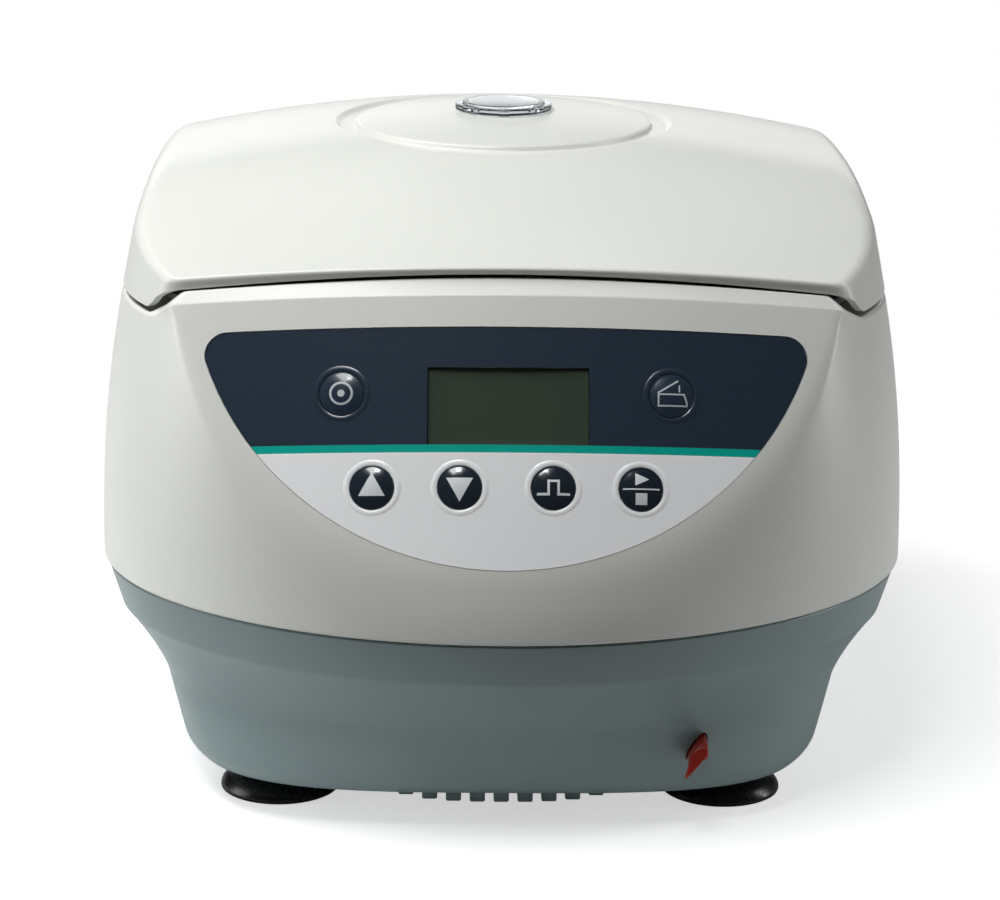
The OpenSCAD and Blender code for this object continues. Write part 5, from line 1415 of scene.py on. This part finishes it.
# %% [markdown]
# Each rib's length is the chord of a rounded square, at the far side of the rib. With a
# fullness of 2 that outline would be a circle, and a greater one fills its corners.

# %% Vent ribs, cut to length
apart = ribs.nodes.new("ShaderNodeSeparateXYZ")
feed(ribs, apart.inputs[0], ribs.nodes.new("GeometryNodeInputPosition").outputs[0])
far = sum_of("ADD", sum_of("ABSOLUTE", apart.outputs["X"]), sum_of("MULTIPLY", width, 0.5))
share = sum_of("POWER", sum_of("DIVIDE", far, radius), fullness)
left = sum_of("POWER", sum_of("SUBTRACT", 1, share), sum_of("DIVIDE", 1, fullness))
chord = sum_of("MULTIPLY", radius, left)
block = ribs.nodes.new("GeometryNodeMeshCube")
block.inputs["Size"].default_value = (1, 1, 1)
put = ribs.nodes.new("GeometryNodeInstanceOnPoints")
feed(ribs, put.inputs["Points"], line.outputs[0])
feed(ribs, put.inputs["Instance"], block.outputs[0])
feed(ribs, put.inputs["Scale"], vector_of(X=width, Y=sum_of("MULTIPLY", chord, 2), Z=high))
end_tree(ribs, put.outputs[0], inputs, output)
vent = grow("vent_grille", ribs, [(rib_finish_id, base_grey)])
vent.data.transform(Matrix.Translation((0, VENT_Y * MM, 9.24 * MM)))
bevelled(vent, 0.7, segments=3)
collar_profile = [(46.2, 11.5), (46.2, 16.0), (43.5, 16.0), (43.5, 11.5)]
collar = lathe_object("vent_collar", [(collar_profile, Matrix.Translation((0, VENT_Y, 0)))])
even_normals(collar)
finished(vent, "housing", None, ["floor_vent"])
finished(collar, "housing", base_grey, ["floor_vent"])

# %% [markdown]
# ## Machined and folded parts
# The inner parts come well shaped from the frame, but their edges are knife sharp. Real
# edges are broken, and only a broken edge catches light. Each gets a copy of its mesh with
# its doubles merged and its sharp edges bevelled, and the copy stands for the node.

# %% Broken edges for the other parts
MERGE_GAP = 2e-6
FLAT_WITHIN = math.radians(0.4)


def broken_edges(node, name, width, material):
    """A copy of the node's mesh with its sharp edges bevelled by width, in its place."""
    mesh = nodes[node].data.copy()
    work = bmesh.new()
    work.from_mesh(mesh)
    bmesh.ops.remove_doubles(work, verts=work.verts, dist=MERGE_GAP)
    bmesh.ops.dissolve_limit(work, angle_limit=FLAT_WITHIN, verts=work.verts, edges=work.edges)
    work.to_mesh(mesh)
    work.free()
    obj = new_object(name, mesh)
    # Zero normals drop the stored ones, so that the bevel starts from the faces alone.
    obj.data.normals_split_custom_set([(0, 0, 0)] * len(obj.data.loops))
    bevelled(obj, width, 34.0)
    return finished(obj, node_body[node], material, [node])


node_body = {member: body for body, members in frame["record"]["behaviour"]["bodies"].items()
             for member in members}

# %% [markdown]
# The list names each node, its new piece, the width of the broken edge in millimetres and
# the finish. Small turned and cut parts get fine edges, castings and mouldings broad ones.

# %% Pieces with broken edges
BROKEN = [
    ("rotor_yoke", "yoke", 0.5, dark_metal), ("carrier_front", "plate_carrier_front", 0.35, carrier_metal),
    ("carrier_rear", "plate_carrier_rear", 0.35, carrier_metal), ("rotor_nut", "clamp_nut", 0.3, steel),
    ("spindle", "drive_spindle", 0.3, steel), ("pivot_pins", "carrier_pins", 0.2, steel),
    ("lid_hinge_arms", "hinge_arms", 0.4, zinc_sheet), ("hinge_brackets", "hinge_seats", 0.4, zinc_sheet),
    ("hinge_pins", "hinge_rods", 0.2, steel), ("latch_studs", "lock_studs", 0.15, steel),
    ("latch_bar", "lock_bar", 0.2, zinc_sheet), ("bell_crank", "upper_crank", 0.2, zinc_sheet),
    ("crank_bracket", "crank_seat", 0.2, zinc_sheet), ("release_rod", "pull_rod", 0.2, zinc_sheet),
    ("tab_crank", "lower_crank_arm", 0.2, zinc_sheet), ("tab_bracket", "tab_seat", 0.2, zinc_sheet),
    ("solenoid", "solenoid_coil", 0.4, dark_metal), ("solenoid_plunger", "coil_plunger", 0.2, steel),
    ("rear_plate", "power_plate", 0.25, zinc_sheet), ("power_inlet", "inlet_body", 0.4, black_plastic),
    ("switch_frame", "rocker_frame", 0.4, black_plastic), ("power_rocker", "rocker_key", 0.4, black_plastic),
    ("fan_frame", "fan_housing", 0.4, black_plastic), ("fan_guard", "fan_grille", 0.3, black_plastic),
    ("fan_impeller", "fan_blades", 0.2, black_plastic), ("inlet_pins", "inlet_blades", 0.25, brass),
    ("lid_switch", "lid_sensor", 0.3, black_plastic),
    ("lid_liner", "lid_lining", 0.4, liner_grey), ("motor_plate", "motor_tray", 0.3, zinc_sheet),
    ("control_board", "key_board", 0.15, board_green), ("power_board", "supply_board", 0.2, board_green),
    ("motor_can", "motor_body", 0.4, dark_metal), ("motor_cap", "motor_lid", 0.4, steel),
    ("sight_nut", "window_nut", 0.3, black_plastic), ("lcd_module", "display_case", 0.3, black_plastic)]
for row in BROKEN:
    broken_edges(*row)

# %% [markdown]
# ## Red tab
# The tab is a small moulded lever with no flat left on it: every side flows into the next.
# A voxel remesh of the frame's own shape, smoothed a few times, gives that soft form.

# %% Red tab
TAB_VOXEL = 0.22
FLOW_ROUNDS = 14

tab = new_object("red_tab", nodes["release_tab"].data.copy())
voxels = tab.modifiers.new("voxels", "REMESH")
voxels.mode = "VOXEL"
voxels.voxel_size = TAB_VOXEL * MM
flow = tab.modifiers.new("flow", "SMOOTH")
flow.factor = 0.5
flow.iterations = FLOW_ROUNDS
settle(tab)
tab.data.shade_smooth()
finished(tab, node_body["release_tab"], tab_red, ["release_tab"])

# %% [markdown]
# ## The rest of the frame
# A few nodes are fine as they come, such as the bowl and its seal. They keep their mesh
# and only change their finish.

# %% Finishes on the frame's own pieces
KEPT = {
    "chamber_bowl": bowl_steel, "chamber_seal": rubber, "shaft_boot": rubber, "motor_mounts": rubber,
    "bowl_screws": steel, "liner_screws": steel, "shell_screws": steel, "motor_screws": steel,
    "foot_studs": steel, "bar_guides": steel}
for node, material in KEPT.items():
    piece = nodes[node]
    piece.data.materials.clear()
    piece.data.materials.append(material)
print(len(KEPT), "nodes keep their mesh")

# %% [markdown]
# ## Closing
# The size of the dressed model, all its shown pieces without the floor, is printed in millimetres.

# %% Sizes and finish
low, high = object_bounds()
print("size", [round((b - a) * 1000, 1) for a, b in zip(low, high)], "mm")
